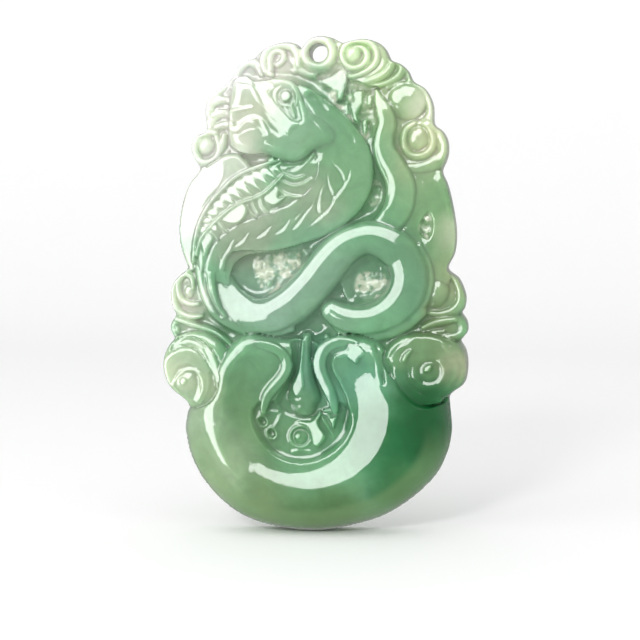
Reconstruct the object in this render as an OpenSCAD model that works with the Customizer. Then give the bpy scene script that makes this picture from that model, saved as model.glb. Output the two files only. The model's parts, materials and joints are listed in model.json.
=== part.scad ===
// Carved jade pendant: a coiled snake over a ruyi head, framed by cloud scrolls.
// One stone, laid out as named carved regions that meet wall to wall on a common ground slab.
// +Z is up as worn, the carved face looks along -Y, the flat back lies in the plane y = 0,
// and the origin is the centre of the cord hole at the back.

/* [Pendant] */
// Overall height of the carving, in mm
pendant_h = 59.2; // [54:0.2:66]
// Thickness of the ground slab behind the relief, in mm
slab_t = 4; // [3:0.1:5]
// Radius of the cord hole, in mm
hole_r = 1.1; // [0.8:0.05:1.3]

/* [Relief] */
// Height of the snake's body above the ground slab
snake_h = 3.6; // [2.5:0.1:4.2]
// Height of the snake's head above the ground slab
head_h = 4.2; // [3:0.1:4.8]
// Height of the ruyi dome above the ground slab
ruyi_h = 4.8; // [3.5:0.1:5.2]
// Height of the cloud lobes above the ground slab
cloud_h = 1.6; // [1:0.1:2.2]
// Height of a raised scroll line on a cloud lobe
line_h = 0.7; // [0.4:0.1:1]

/* [Hidden] */

// The layout is drawn on a square grid counted from the cord hole: 494 squares make the full height.
u = pendant_h / 494;
pale = [0.86, 0.91, 0.82];
mid = [0.55, 0.74, 0.58];
sea = [0.49, 0.71, 0.59];
deep = [0.20, 0.52, 0.34];
olive = [0.60, 0.74, 0.50];

// ---------- curves ----------
function cr1(a, b, c, d, t) =
    0.5 * ((2 * b) + (c - a) * t + (2 * a - 5 * b + 4 * c - d) * t * t + (3 * b - a - 3 * c + d) * t * t * t);
// Smooth open curve through the points of p, n steps a span.
function open_curve(p, n) = let (m = len(p)) concat(
    [for (i = [0 : m - 2]) for (k = [0 : n - 1])
        cr1(p[max(i - 1, 0)], p[i], p[i + 1], p[min(i + 2, m - 1)], k / n)], [p[m - 1]]);
// Smooth closed curve through the points of p.
function closed_curve(p, n) = let (m = len(p))
    [for (i = [0 : m - 1]) for (k = [0 : n - 1])
        cr1(p[(i + m - 1) % m], p[i], p[(i + 1) % m], p[(i + 2) % m], k / n)];
function unit(v) = v / max(norm(v), 1e-9);
function tangent(c, i) = unit([c[min(i + 1, len(c) - 1)][0] - c[max(i - 1, 0)][0],
                               c[min(i + 1, len(c) - 1)][1] - c[max(i - 1, 0)][1]]);
// Spiral from angle a0 to a1 degrees, its radius running from r0 to r1, w its half width.
function spiral(cx, cz, r0, r1, a0, a1, w, n) =
    [for (i = [0 : n]) let (t = i / n, a = a0 + (a1 - a0) * t, r = r0 + (r1 - r0) * t)
        [cx + r * cos(a), cz + r * sin(a), w]];

// A flat shape drawn in the x-z plane, raised towards the viewer from elevation e0 to e1.
module raised(e0, e1) rotate([90, 0, 0]) translate([0, 0, e0]) linear_extrude(height = e1 - e0) children();
module flat(p) polygon([for (q = p) [q[0] * u, q[1] * u]]);
module lobe(c) translate([c[0] * u, c[1] * u]) circle(r = c[2] * u, $fn = 64);

// A half-round cord lying on elevation e0. c holds [x, z, half width] in grid squares; k sides to the arch.
module cord_relief(c, e0, h, k = 8) {
    m = len(c);
    s = k + 1;
    pts = [for (i = [0 : m - 1]) let (t = tangent(c, i), q = [-t[1], t[0]], w = c[i][2] * u)
        for (j = [0 : k]) let (a = 180 * j / k, o = w * cos(a), r = h * min(1, 0.35 + c[i][2] / 16) * sin(a))
            [c[i][0] * u + q[0] * o, -(e0 + max(r, 0)), c[i][1] * u + q[1] * o]];
    skin = [for (i = [0 : m - 2]) for (j = [0 : s - 1]) let (j2 = (j + 1) % s)
        each [[i * s + j, i * s + j2, (i + 1) * s + j], [i * s + j2, (i + 1) * s + j2, (i + 1) * s + j]]];
    polyhedron(points = pts, faces = concat(
        skin, [[for (j = [s - 1 : -1 : 0]) j]], [[for (j = [0 : s - 1]) (m - 1) * s + j]]), convexity = 8);
}
// The same cord's plan outline, span by span.
module cord_plan(c) for (i = [0 : len(c) - 2]) let (t = tangent(c, i), v = tangent(c, i + 1), w = c[i][2], x = c[i + 1][2])
    flat([[c[i][0] - t[1] * w, c[i][1] + t[0] * w], [c[i + 1][0] - v[1] * x, c[i + 1][1] + v[0] * x],
          [c[i + 1][0] + v[1] * x, c[i + 1][1] - v[0] * x], [c[i][0] + t[1] * w, c[i][1] - t[0] * w]]);
// A raised scroll line on top of a pad of height h, kept inside the pad's own outline (the children).
module scroll_line(c, h) raised(slab_t + h * 0.8, slab_t + h + line_h) intersection() {
    cord_plan(c);
    offset(delta = -1.5 * u) children();
}
// A pad with a stepped, rounded-over top.
module pad(h, b = 4) for (s = [0 : 2]) raised(slab_t + (s == 0 ? 0 : h * (0.45 + 0.3 * (s - 1))), slab_t + h * [0.45, 0.75, 1][s])
    offset(delta = -b * u * [0, 0.45, 1.3][s]) children();

// ---------- layout, in grid squares ----------
body_line = open_curve([
    [16, -52, 13], [30, -80, 14], [37, -104, 12], [38, -129, 10], [30, -152, 10], [13, -167, 10],
    [-12, -179, 9], [-38, -186, 8.5], [-64, -192, 9], [-86, -203, 10], [-103, -221, 13], [-106, -242, 15],
    [-94, -258, 16], [-70, -266, 17], [-45, -264, 17], [-23, -253, 17], [-5, -236, 17], [10, -213, 17],
    [26, -193, 17], [48, -181, 17], [72, -187, 17], [87, -206, 18], [89, -229, 18], [77, -250, 17],
    [52, -262, 15], [30, -260, 12]], 3);
tail_line = open_curve([[58, -38, 2], [63, -52, 5], [69, -68, 7], [68, -86, 9], [71, -102, 11], [80, -118, 12],
                        [87, -135, 12], [82, -153, 13], [72, -166, 13]], 4);
throat_line = open_curve([[3, -100, 5], [6, -122, 8], [-2, -140, 9], [-20, -154, 9], [-42, -165, 8],
                          [-65, -173, 8], [-85, -182, 8], [-100, -194, 7], [-109, -211, 6], [-112, -226, 4]], 4);
head_out = closed_curve([[-87, -47], [-82, -32], [-74, -21], [-63, -26], [-48, -25], [-30, -24], [-15, -29],
                         [-4, -42], [4, -58], [15, -74], [15, -92], [5, -99], [-5, -99], [-20, -106], [-36, -106],
                         [-52, -102], [-68, -101], [-83, -99], [-88, -88], [-88, -68]], 3);
hood_out = closed_curve([[-119, -117], [-128, -128], [-134, -142], [-138, -160], [-140, -178], [-138, -194],
                         [-134, -206], [-126, -215], [-120, -208], [-120, -190], [-115, -166], [-104, -146],
                         [-90, -131], [-76, -121], [-60, -113], [-72, -104], [-84, -101], [-104, -108]], 3);
leaf_out = closed_curve([[-118, -210], [-120, -190], [-115, -166], [-104, -146], [-90, -131], [-76, -121],
                         [-60, -114], [-38, -110], [-18, -108], [-4, -106], [-6, -124], [-18, -140], [-34, -150],
                         [-54, -160], [-76, -168], [-92, -178], [-104, -190], [-112, -206]], 3);
bank_out = closed_curve([[92, -112], [121, -118], [127, -129], [131, -144], [134, -160], [136, -174], [136, -186],
                         [132, -202], [126, -216], [112, -216], [104, -196], [92, -178], [80, -168], [88, -158], [96, -138]], 3);
pit_out = closed_curve([[113, -155], [114, -171], [108, -185], [101, -181], [100, -170], [107, -163]], 3);
ruyi_out = closed_curve([[-131, -345], [-134, -361], [-136, -374], [-134, -389], [-129, -406], [-120, -424],
                         [-105, -442], [-85, -458], [-60, -470], [-30, -476], [0, -477], [30, -473], [60, -463],
                         [82, -451], [97, -439], [110, -426], [120, -413], [127, -400], [131, -387], [132, -374],
                         [131, -358], [128, -340], [100, -306], [64, -280], [40, -277], [-17, -277], [-70, -280],
                         [-92, -296], [-108, -330]], 3);
medallion_c = [-17, -364, 44];
drop_line = [[-14, -284, 7], [-14, -300, 7], [-15, -316, 10], [-16, -330, 15], [-16, -342, 17], [-16, -352, 13], [-15, -357, 5]];
left_finger_line = open_curve([[-90, -376, 3], [-88, -350, 7], [-83, -326, 9], [-76, -306, 10], [-64, -292, 10],
                               [-46, -290, 10], [-33, -300, 8.5], [-35, -316, 7], [-46, -328, 6], [-54, -340, 5], [-58, -352, 3]], 3);
right_finger_line = open_curve([[20, -352, 4], [13, -334, 6], [6, -318, 7], [4, -304, 8], [12, -292, 9],
                                [30, -288, 10], [46, -296, 11], [55, -312, 11], [60, -328, 9], [62, -344, 6]], 3);
lv = [-129, -312];
rv = [112, -314];
left_volute_line = concat(spiral(lv[0] - 2, lv[1] - 12, 4, 12, -40, 200, 4, 12),
                          spiral(lv[0], lv[1] - 6, 15, 22, 214, 20, 6, 14));
top_lobes = [[-69, -19, 14], [-39, -11, 21], [2, -3, 19.5], [44, -13, 26], [72, -29, 21]];
left_lobes = [[-77, -34, 15], [-94, -56, 19.5], [-108, -96, 19], [-130, -237, 19], [-134, -271, 15]];
right_lobes = [[88, -55, 26], [102, -94, 26], [124, -239, 22], [132, -269, 17]];
core = [[-84, -60], [-76, -36], [-60, -22], [-40, -12], [40, -12], [74, -34], [92, -60], [108, -90], [122, -120],
        [128, -215], [130, -270], [122, -300], [122, -330], [-122, -330], [-132, -294], [-130, -270], [-125, -240],
        [-128, -215], [-128, -140], [-110, -118], [-106, -96], [-96, -70]];

// ---------- plan outlines ----------
module plan_body() cord_plan(body_line);
module plan_tail() difference() { cord_plan(tail_line); plan_body(); }
module plan_throat() difference() { cord_plan(throat_line); plan_body(); }
module plan_head() flat(head_out);
module plan_scutes() difference() { flat(leaf_out); plan_body(); plan_throat(); plan_head(); }
module plan_hood() difference() { flat(hood_out); flat(leaf_out); plan_body(); plan_throat(); plan_head(); }
module plan_left_volute() union() { lobe([lv[0] + 1, lv[1] - 1, 28]); lobe([lv[0] + 12, lv[1] + 3, 22]); }
module plan_right_volute() union() { lobe([rv[0] + 8, rv[1] + 3, 28]); lobe([rv[0] - 14, rv[1] + 6, 24]); }
module plan_snake() union() { plan_body(); cord_plan(tail_line); cord_plan(throat_line); plan_head(); flat(leaf_out); flat(hood_out); }
module plan_ruyi() difference() { flat(ruyi_out); plan_body(); }
module plan_clouds(l) difference() {
    for (c = l) lobe(c);
    plan_snake();
    plan_left_volute();
    plan_right_volute();
    flat(ruyi_out);
}
module plan_silhouette() offset(delta = -0.2) offset(delta = 0.2) {
    flat(core);
    for (c = concat(top_lobes, left_lobes, right_lobes)) lobe(c);
    plan_snake();
    flat(bank_out);
    plan_left_volute();
    plan_right_volute();
    flat(ruyi_out);
}
// Everything above the ground slab over a plan outline, for cutting one region back from its neighbour.
module above() raised(slab_t - 0.5, slab_t + 8) children();

// ---------- regions ----------
module ground_slab() color(mid) difference() {
    raised(0, slab_t) plan_silhouette();
    rotate([90, 0, 0]) translate([0, 0, -1]) cylinder(r = hole_r, h = slab_t + 2, $fn = 64);
}
module snake_body() color(sea) difference() {
    cord_relief(body_line, slab_t, snake_h);
    above() plan_head();
}
module snake_tail() color(sea) difference() {
    cord_relief(tail_line, slab_t, snake_h * 0.85);
    above() { plan_body(); plan_head(); }
}
module snake_throat() color(mid) difference() {
    cord_relief(throat_line, slab_t, snake_h * 0.9);
    above() { plan_body(); plan_head(); }
}
module snake_head() color([0.66, 0.80, 0.66]) difference() {
    pad(head_h, 6) plan_head();
    // eye socket
    rotate([90, 0, 0]) translate([-31 * u, -43 * u, slab_t + head_h - 0.5]) cylinder(r = 8 * u, h = 2, $fn = 48);
    // mouth line from the snout to the corner of the jaw
    raised(slab_t + head_h * 0.55, slab_t + 6) flat([[-92, -59], [-66, -55], [-58, -62], [-48, -72], [-44, -84],
                                                     [-47, -84], [-52, -73], [-61, -65], [-67, -59], [-92, -63]]);
}
module snake_eye() color([0.80, 0.88, 0.78]) intersection() {
    rotate([90, 0, 0]) translate([-31 * u, -43 * u, slab_t + head_h - 0.5]) cylinder(r = 5.5 * u, h = 1, $fn = 48);
    rotate([90, 0, 0]) translate([-31 * u, -43 * u, slab_t + head_h - 0.5]) sphere(r = 5.5 * u, $fn = 48);
}
module snake_belly_scutes() color([0.70, 0.83, 0.68]) {
    pad(snake_h * 0.55, 3) plan_scutes();
    // raised cross ridges of the scutes
    intersection() {
        for (i = [0 : 7]) raised(slab_t + snake_h * 0.5, slab_t + snake_h * 0.72)
            translate([(-108 + 12.5 * i) * u, (-186 + 8.4 * i) * u]) rotate(40 + 4 * i) square([3 * u, 22 * u], center = true);
        raised(slab_t, slab_t + 6) offset(delta = -2 * u) plan_scutes();
    }
}
module snake_hood() color(pale) pad(snake_h * 0.8, 6) plan_hood();
module cloud_scrolls_top() color(pale) difference() {
    union() {
        pad(cloud_h, 4) plan_clouds(top_lobes);
        scroll_line(spiral(-38, -9, 4, 13, -60, 250, 2.4, 14), cloud_h) plan_clouds(top_lobes);
        scroll_line(spiral(40, -8, 5, 18, -30, 330, 2.6, 16), cloud_h) plan_clouds(top_lobes);
    }
    // dished seat round the cord hole
    rotate([90, 0, 0]) translate([0, 0, slab_t - 0.5]) cylinder(r = 1.7, h = 6, $fn = 64);
}
module plan_left_clouds() difference() {
    plan_clouds(left_lobes);
    for (c = top_lobes) lobe(c);
}
module cloud_scrolls_left() color(pale) {
    pad(cloud_h, 4) plan_left_clouds();
    scroll_line(spiral(-110, -93, 4, 11, 40, 330, 2.2, 14), cloud_h) plan_left_clouds();
    scroll_line(spiral(-131, -235, 4, 12, 100, 400, 2.2, 14), cloud_h) plan_left_clouds();
}
module plan_right_clouds() difference() {
    plan_clouds(right_lobes);
    flat(bank_out);
    for (c = top_lobes) lobe(c);
}
module cloud_scrolls_right() color(olive) {
    pad(cloud_h, 4) plan_right_clouds();
    scroll_line(spiral(98, -88, 4, 13, 60, 360, 2.4, 14), cloud_h) plan_right_clouds();
    scroll_line(spiral(118, -236, 8, 14, 60, -80, 2.2, 8), cloud_h) plan_right_clouds();
}
module cloud_bank_right() color(olive) difference() {
    pad(cloud_h * 1.4, 6) difference() { flat(bank_out); plan_snake(); }
    above() flat(pit_out);
}
module ruyi_body() color(deep) difference() {
    for (s = [0 : 5]) raised(slab_t + ruyi_h * [0, 0.3, 0.55, 0.75, 0.9, 0.97][s], slab_t + ruyi_h * [0.3, 0.55, 0.75, 0.9, 0.97, 1][s])
        offset(delta = -u * [0, 3, 8, 15, 24, 34][s]) flat(ruyi_out);
    above() {
        plan_body();
        plan_left_volute();
        plan_right_volute();
        cord_plan(left_finger_line);
        cord_plan(right_finger_line);
        cord_plan(drop_line);
        lobe(medallion_c);
    }
}
module ruyi_left_volute() color(olive) {
    pad(cloud_h * 1.3, 5) difference() { plan_left_volute(); plan_body(); cord_plan(left_finger_line); }
    scroll_line(spiral(lv[0] - 2, lv[1] - 10, 5, 21, -60, 250, 3.4, 20), cloud_h * 1.3)
        difference() { plan_left_volute(); plan_body(); cord_plan(left_finger_line); }
}
module ruyi_right_volute() color(mid) {
    pad(cloud_h * 1.3, 5) difference() { plan_right_volute(); plan_body(); cord_plan(right_finger_line); }
    scroll_line(spiral(rv[0] - 1, rv[1] - 1, 5, 22, 240, -70, 3.4, 20), cloud_h * 1.3)
        difference() { plan_right_volute(); plan_body(); cord_plan(right_finger_line); }
}
module ruyi_left_finger() color(sea) difference() {
    cord_relief(left_finger_line, slab_t, ruyi_h * 0.8);
    above() { plan_body(); cord_plan(drop_line); }
}
module ruyi_right_finger() color(sea) difference() {
    cord_relief(right_finger_line, slab_t, ruyi_h * 0.8);
    above() { plan_body(); cord_plan(drop_line); }
}
module ruyi_drop() color(sea) difference() {
    cord_relief(open_curve(drop_line, 3), slab_t, ruyi_h * 0.75);
    above() plan_body();
}
module ruyi_medallion() color(mid) difference() {
    union() {
        raised(slab_t, slab_t + 1.4) lobe(medallion_c);
        raised(slab_t + 1.4, slab_t + 2) difference() { lobe([-17, -379, 9]); lobe([-17, -379, 6]); }
        raised(slab_t + 1.4, slab_t + 2.1) lobe([-18, -378, 3.4]);
    }
    above() {
        plan_body();
        plan_left_volute();
        cord_plan(left_finger_line);
        cord_plan(right_finger_line);
        cord_plan(drop_line);
    }
    // small faceted cuts either side of the ring
    raised(slab_t + 0.8, slab_t + 3) { flat([[6, -358], [22, -358], [14, -372]]); flat([[4, -366], [8, -364], [17, -378], [13, -381]]); }
    raised(slab_t + 0.8, slab_t + 3) { flat([[-57, -360], [-46, -359], [-49, -368], [-56, -367]]); flat([[-50, -371], [-42, -369], [-45, -378], [-50, -377]]); }
}

ground_slab();
snake_body();
snake_tail();
snake_head();
snake_eye();
snake_throat();
snake_belly_scutes();
snake_hood();
cloud_scrolls_top();
cloud_scrolls_left();
cloud_scrolls_right();
cloud_bank_right();
ruyi_body();
ruyi_left_volute();
ruyi_right_volute();
ruyi_left_finger();
ruyi_right_finger();
ruyi_drop();
ruyi_medallion();
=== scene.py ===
"""A carved jade pendant: a coiled snake over a ruyi head in a frame of cloud scrolls.

The relief is drawn as a height map in code (bands, domes, pads and lines laid over each other in the order a carver
cuts them), turned by surface nets into a closed piece for each region of the carving (or one skin when SPLIT is off),
and shown as polished, slightly translucent stone."""

import json
import math

import bpy
import numpy as np
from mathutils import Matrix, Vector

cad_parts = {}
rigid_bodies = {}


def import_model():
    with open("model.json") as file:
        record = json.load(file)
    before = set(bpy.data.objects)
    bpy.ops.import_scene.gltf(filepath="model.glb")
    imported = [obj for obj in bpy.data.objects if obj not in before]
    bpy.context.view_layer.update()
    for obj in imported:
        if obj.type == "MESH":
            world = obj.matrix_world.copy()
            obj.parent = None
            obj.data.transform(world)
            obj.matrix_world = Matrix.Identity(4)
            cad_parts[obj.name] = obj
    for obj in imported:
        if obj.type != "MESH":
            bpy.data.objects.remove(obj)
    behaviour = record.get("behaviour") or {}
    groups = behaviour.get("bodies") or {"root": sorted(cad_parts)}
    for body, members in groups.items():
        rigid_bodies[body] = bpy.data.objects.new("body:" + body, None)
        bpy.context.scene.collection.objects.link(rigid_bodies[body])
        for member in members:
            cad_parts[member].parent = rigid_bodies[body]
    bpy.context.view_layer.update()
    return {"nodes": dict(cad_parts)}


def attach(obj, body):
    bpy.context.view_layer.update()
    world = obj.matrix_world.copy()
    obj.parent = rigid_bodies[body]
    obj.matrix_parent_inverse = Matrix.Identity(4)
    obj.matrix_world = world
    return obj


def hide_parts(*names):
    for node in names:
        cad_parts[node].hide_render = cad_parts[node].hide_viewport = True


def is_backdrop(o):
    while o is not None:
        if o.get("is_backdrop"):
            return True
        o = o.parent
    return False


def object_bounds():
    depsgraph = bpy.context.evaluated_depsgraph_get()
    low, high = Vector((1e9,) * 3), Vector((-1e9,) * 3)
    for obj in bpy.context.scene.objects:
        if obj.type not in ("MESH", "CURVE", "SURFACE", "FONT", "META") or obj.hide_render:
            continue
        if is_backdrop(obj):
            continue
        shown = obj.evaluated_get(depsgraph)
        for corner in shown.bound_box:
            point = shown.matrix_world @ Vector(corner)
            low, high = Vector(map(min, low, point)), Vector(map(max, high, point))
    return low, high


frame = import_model()


# The carving is drafted on a sheet of small squares, x to the right and y down.
SQ = 0.00012            # metres a square
CX, CY = 320.0, 51.5    # the cord hole's centre on the sheet
SLAB = 33.3             # ground level above the back, in squares


def curve(p, n=6, closed=False):
    """Catmull-Rom curve through rows of p (x, y and any other columns)."""
    p = np.asarray(p, float)
    m = len(p)
    out = []
    last = m if closed else m - 1
    t = np.arange(n)[:, None] / n
    for i in range(last):
        if closed:
            a, b, c, d = p[(i - 1) % m], p[i], p[(i + 1) % m], p[(i + 2) % m]
        else:
            a, b, c, d = p[max(i - 1, 0)], p[i], p[i + 1], p[min(i + 2, m - 1)]
        out.append(0.5 * (2 * b + (c - a) * t + (2 * a - 5 * b + 4 * c - d) * t ** 2
                          + (3 * b - a - 3 * c + d) * t ** 3))
    q = np.vstack(out)
    if not closed:
        q = np.vstack([q, p[-1:]])
    return q


def arc(cx, cy, r0, r1, a0, a1, w0=0.0, w1=0.0, n=40):
    """Spiral arc as rows x, y, half width; angles in degrees, clockwise on the sheet from +x."""
    t = np.linspace(0, 1, n)
    a = np.radians(a0 + (a1 - a0) * t)
    r = r0 + (r1 - r0) * t
    return np.stack([cx + r * np.cos(a), cy + r * np.sin(a), w0 + (w1 - w0) * t], 1)


def ss(a, b, x):
    t = np.clip((x - a) / (b - a), 0, 1)
    return t * t * (3 - 2 * t)


class Sheet:
    def __init__(self, step):
        self.step = step
        self.x = np.arange(146.0, 486.0, step)
        self.y = np.arange(18.0, 546.0, step)
        self.X, self.Y = np.meshgrid(self.x, self.y)
        self.h = np.full(self.X.shape, SLAB)
        self.reg = np.zeros(self.X.shape, np.uint8)
        self.rough = np.zeros(self.X.shape)

    def win(self, p, pad):
        p = np.asarray(p)
        x0, y0 = p[:, 0].min() - pad, p[:, 1].min() - pad
        x1, y1 = p[:, 0].max() + pad, p[:, 1].max() + pad
        i0, i1 = np.searchsorted(self.y, [y0, y1])
        j0, j1 = np.searchsorted(self.x, [x0, x1])
        return slice(max(i0, 0), i1), slice(max(j0, 0), j1)

    def near(self, p, pad=None, w=None):
        """Distance, place along and side of every cell near the polyline p."""
        p = np.asarray(p, float)
        if w is None:
            w = self.win(p, pad)
        X, Y = self.X[w], self.Y[w]
        best = np.full(X.shape, 1e9)
        u = np.zeros(X.shape)
        side = np.zeros(X.shape)
        for i in range(len(p) - 1):
            ax, ay = p[i, 0], p[i, 1]
            dx, dy = p[i + 1, 0] - ax, p[i + 1, 1] - ay
            l2 = dx * dx + dy * dy
            if l2 < 1e-9:
                continue
            t = np.clip(((X - ax) * dx + (Y - ay) * dy) / l2, 0, 1)
            qx, qy = X - ax - t * dx, Y - ay - t * dy
            d2 = qx * qx + qy * qy
            m = d2 < best
            best[m] = d2[m]
            u[m] = i + t[m]
            side[m] = np.sign(dx * qy - dy * qx)[m]
        return w, np.sqrt(best), u, side

    def inside(self, poly, w):
        X, Y = self.X[w], self.Y[w]
        r = np.zeros(X.shape, bool)
        n = len(poly)
        for i in range(n):
            x0, y0 = poly[i][0], poly[i][1]
            x1, y1 = poly[(i + 1) % n][0], poly[(i + 1) % n][1]
            if y0 == y1:
                continue
            c = (y0 > Y) != (y1 > Y)
            r ^= c & (X < (x1 - x0) * (Y - y0) / (y1 - y0) + x0)
        return r

    def sdf(self, poly, pad=3.0, w=None):
        """Signed distance to a closed polygon, positive inside."""
        p = np.vstack([poly, poly[:1]])
        w, d, u, s = self.near(p, pad, w)
        return w, np.where(self.inside(poly, w), d, -d)

    # -- marks on the stone --
    def top(self, w, v, m, reg=None, k=0.0):
        """Union: the stone reaches up to v where m."""
        h = self.h[w]
        g = m & (v > h)
        if k > 0:
            e = np.clip(k - np.abs(v - h), 0, None) ** 2 / (4 * k)
            h = np.where(m, np.maximum(h, v) + e, h)
        else:
            h = np.where(g, v, h)
        self.h[w] = h
        if reg is not None:
            r = self.reg[w]
            r[g] = reg
            self.reg[w] = r

    def over(self, w, v, m, reg=None):
        """Replace the surface by v where m."""
        self.h[w] = np.where(m, v, self.h[w])
        if reg is not None:
            r = self.reg[w]
            r[m] = reg
            self.reg[w] = r

    def roll(self, p, z0, H, reg=None, pw=0.5, n=6, smooth=True, mode="top", k=0.0, clip=None):
        """A rounded band along rows x, y, half width (and optional height factor)."""
        p = np.asarray(p, float)
        if smooth:
            p = curve(p, n)
        w, d, u, s = self.near(p, p[:, 2].max() + 1)
        ii = np.arange(len(p))
        hw = np.interp(u, ii, p[:, 2])
        f = np.interp(u, ii, p[:, 3]) if p.shape[1] > 3 else 1.0
        q = np.clip(d / np.maximum(hw, 0.01), 0, 1)
        if pw == "low":
            # low relief: a shallow crown with rounded-over edges
            t = np.clip((q - 0.70) / 0.30, 0, 1)
            v = z0 + H * f * (0.37 * (1 - q * q) + 0.63 * np.sqrt(1 - t * t))
        elif pw == "flat":
            t = np.clip((q - 0.66) / 0.34, 0, 1)
            v = z0 + H * f * (0.14 * (1 - q * q) + 0.86 * np.sqrt(1 - t * t))
        else:
            v = z0 + H * f * (1 - q * q) ** pw
        m = d < hw
        if clip is not None:
            m &= clip[w]
        if mode == "top":
            self.top(w, v, m, reg, k)
        else:
            self.over(w, v, m, reg)
        return w, d, u, s, hw, m

    def ridge(self, p, H, n=6, smooth=True, clip=None, pw=1.0):
        """Add a raised line (H > 0) or cut a groove (H < 0): rows x, y, half width."""
        p = np.asarray(p, float)
        if smooth:
            p = curve(p, n)
        w, d, u, s = self.near(p, p[:, 2].max() * 1.6 + 1)
        ii = np.arange(len(p))
        hw = np.interp(u, ii, p[:, 2])
        f = np.interp(u, ii, p[:, 3]) if p.shape[1] > 3 else 1.0
        v = H * f * np.exp(-(d / np.maximum(hw, 0.05)) ** 2 * 1.4)
        if clip is not None:
            v = v * clip[w]
        self.h[w] += v

    def dome(self, cx, cy, rx, ry, ang, z0, H, reg=None, pw=0.5, mode="top"):
        r = max(rx, ry) + 1
        w = self.win(np.array([[cx - r, cy - r], [cx + r, cy + r]]), 0)
        X, Y = self.X[w] - cx, self.Y[w] - cy
        a = np.radians(ang)
        q = ((X * np.cos(a) + Y * np.sin(a)) / rx) ** 2 + ((-X * np.sin(a) + Y * np.cos(a)) / ry) ** 2
        v = z0 + H * np.clip(1 - q, 0, 1) ** pw
        (self.top if mode == "top" else self.over)(w, v, q < 1, reg)

    def pad(self, poly, z0, H, edge, reg=None, n=5, mode="over", pw=0.5, smooth=True):
        """A plateau over a closed outline whose edge is rounded over a width."""
        q = curve(poly, n, True) if smooth else np.asarray(poly, float)
        w, sd = self.sdf(q)
        t = np.clip(1 - sd / edge, 0, 1)
        v = z0 + H * (1 - t * t) ** pw
        (self.top if mode == "top" else self.over)(w, v, sd > 0, reg)
        return w, sd

    def blade(self, p, H, wa, wb, n=6, clip=None):
        """A ridge of two flat flanks: wa wide on the left of the path as it runs down, wb on the other."""
        p = np.asarray(p, float)
        q = curve(p, n)
        w, d, u, s = self.near(q, max(wa, wb) + 1)
        f = np.interp(u, np.arange(len(q)), q[:, 2]) if q.shape[1] > 2 else 1.0
        t = np.where(s > 0, d / (wa * f), d / (wb * f))
        v = H * f * np.clip(1 - t, 0, 1)
        if clip is not None:
            v = v * clip[w]
        self.h[w] += v
        return w, v

    def facet(self, poly, z, gx, gy, edge=1.2, reg=None, cut=False, n=3):
        """A flat facet rising by gx a square to the right and gy downwards, z high at its middle."""
        q = curve(poly, n, True)
        c = q.mean(0)
        w, sd = self.sdf(q)
        v = z + gx * (self.X[w] - c[0]) + gy * (self.Y[w] - c[1])
        k = ss(-edge * 0.5, edge * 0.5, sd)
        if not cut:
            v = np.maximum(v, self.h[w])
        self.h[w] += k * (v - self.h[w])
        if reg is not None:
            r = self.reg[w]
            r[sd > 0] = reg
            self.reg[w] = r

    def soften(self, p, rad, sig, amount=0.9):
        """Rub the surface smooth along a line."""
        q = curve(np.asarray(p, float), 4)
        w, d, u, s = self.near(q, rad + 1)
        pad = int(3 * sig / self.step) + 2
        W = (slice(max(w[0].start - pad, 0), w[0].stop + pad), slice(max(w[1].start - pad, 0), w[1].stop + pad))
        sm = blur(self.h[W], sig / self.step)
        sm = sm[w[0].start - W[0].start:, w[1].start - W[1].start:][:d.shape[0], :d.shape[1]]
        self.h[w] += (sm - self.h[w]) * amount * ss(rad, rad * 0.35, d)

    def sliver(self, p, k=0.5, fade=1.3, n=6):
        """A narrow cut facet along rows x, y, half width: it faces the left of the path as it runs down."""
        q = curve(np.asarray(p, float), n)
        w, d, u, s = self.near(q, q[:, 2].max() + fade + 1)
        hw = np.interp(u, np.arange(len(q)), q[:, 2])
        sd = d * s
        v = -k * np.clip(sd, -hw, hw) * (1 - ss(0, fade, d - hw))
        self.h[w] += v


def blur(a, sig):
    r = max(int(3 * sig + 1), 1)
    k = np.exp(-0.5 * (np.arange(-r, r + 1) / sig) ** 2)
    k /= k.sum()
    p = np.pad(a, ((r, r), (0, 0)), mode="edge")
    a = sum(k[i] * p[i:i + a.shape[0]] for i in range(2 * r + 1))
    p = np.pad(a, ((0, 0), (r, r)), mode="edge")
    return sum(k[i] * p[:, i:i + a.shape[1]] for i in range(2 * r + 1))

OUTLINE = [
    (302, 47), (310, 38), (320, 34.5), (332, 36), (343, 41), (352, 39), (365, 37.5), (378, 41), (386, 48), (391, 58),
    (400, 62), (408, 69), (413, 79), (424, 86), (430, 95), (433, 105), (434, 121), (442, 128), (447, 137), (448, 148),
    (446, 157), (442, 168), (447, 180), (451, 195), (454, 210), (456, 225), (456, 238), (454, 250), (448, 264),
    (458, 273), (463, 282), (466, 292), (465, 302), (462, 308), (467, 316), (468, 325), (464, 331), (461, 336),
    (466, 345), (468, 355), (468, 365), (466, 375), (461, 381), (455, 385), (450, 391), (450, 400), (451, 410),
    (452, 425), (450, 440), (446, 452), (440, 465), (430, 478), (415, 492), (400, 503), (380, 514), (350, 523),
    (320, 528), (290, 527), (260, 521), (235, 510), (215, 493), (200, 475), (190, 455), (186, 440), (184, 425),
    (186, 410), (189, 400), (184, 394), (176, 388), (169, 380), (165, 370), (163.5, 360), (165, 350), (169, 341),
    (174, 334), (171, 325), (172, 317), (176, 311), (172, 298), (172, 286), (175, 277), (181, 270), (188, 264),
    (184, 252), (181, 240), (180, 225), (182, 205), (186, 190), (192, 178), (201, 166), (196, 155), (193, 147),
    (194, 139), (199, 132), (208, 127), (207, 115), (207, 106), (210, 97), (216, 90), (222, 86), (230, 80), (236, 72),
    (240, 64), (248, 59), (256, 56), (262, 50), (270, 45), (280, 41.5), (290, 40.5), (298, 42.5)]

GROUND, CLOUD_T, CLOUD_L, CLOUD_R, BANK, COIL, NECK, TAIL, HEAD, HOOD, SCUTE, RUYI, VOL_L, VOL_R, FING, DROP, MEDAL, EYE = range(18)


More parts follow.
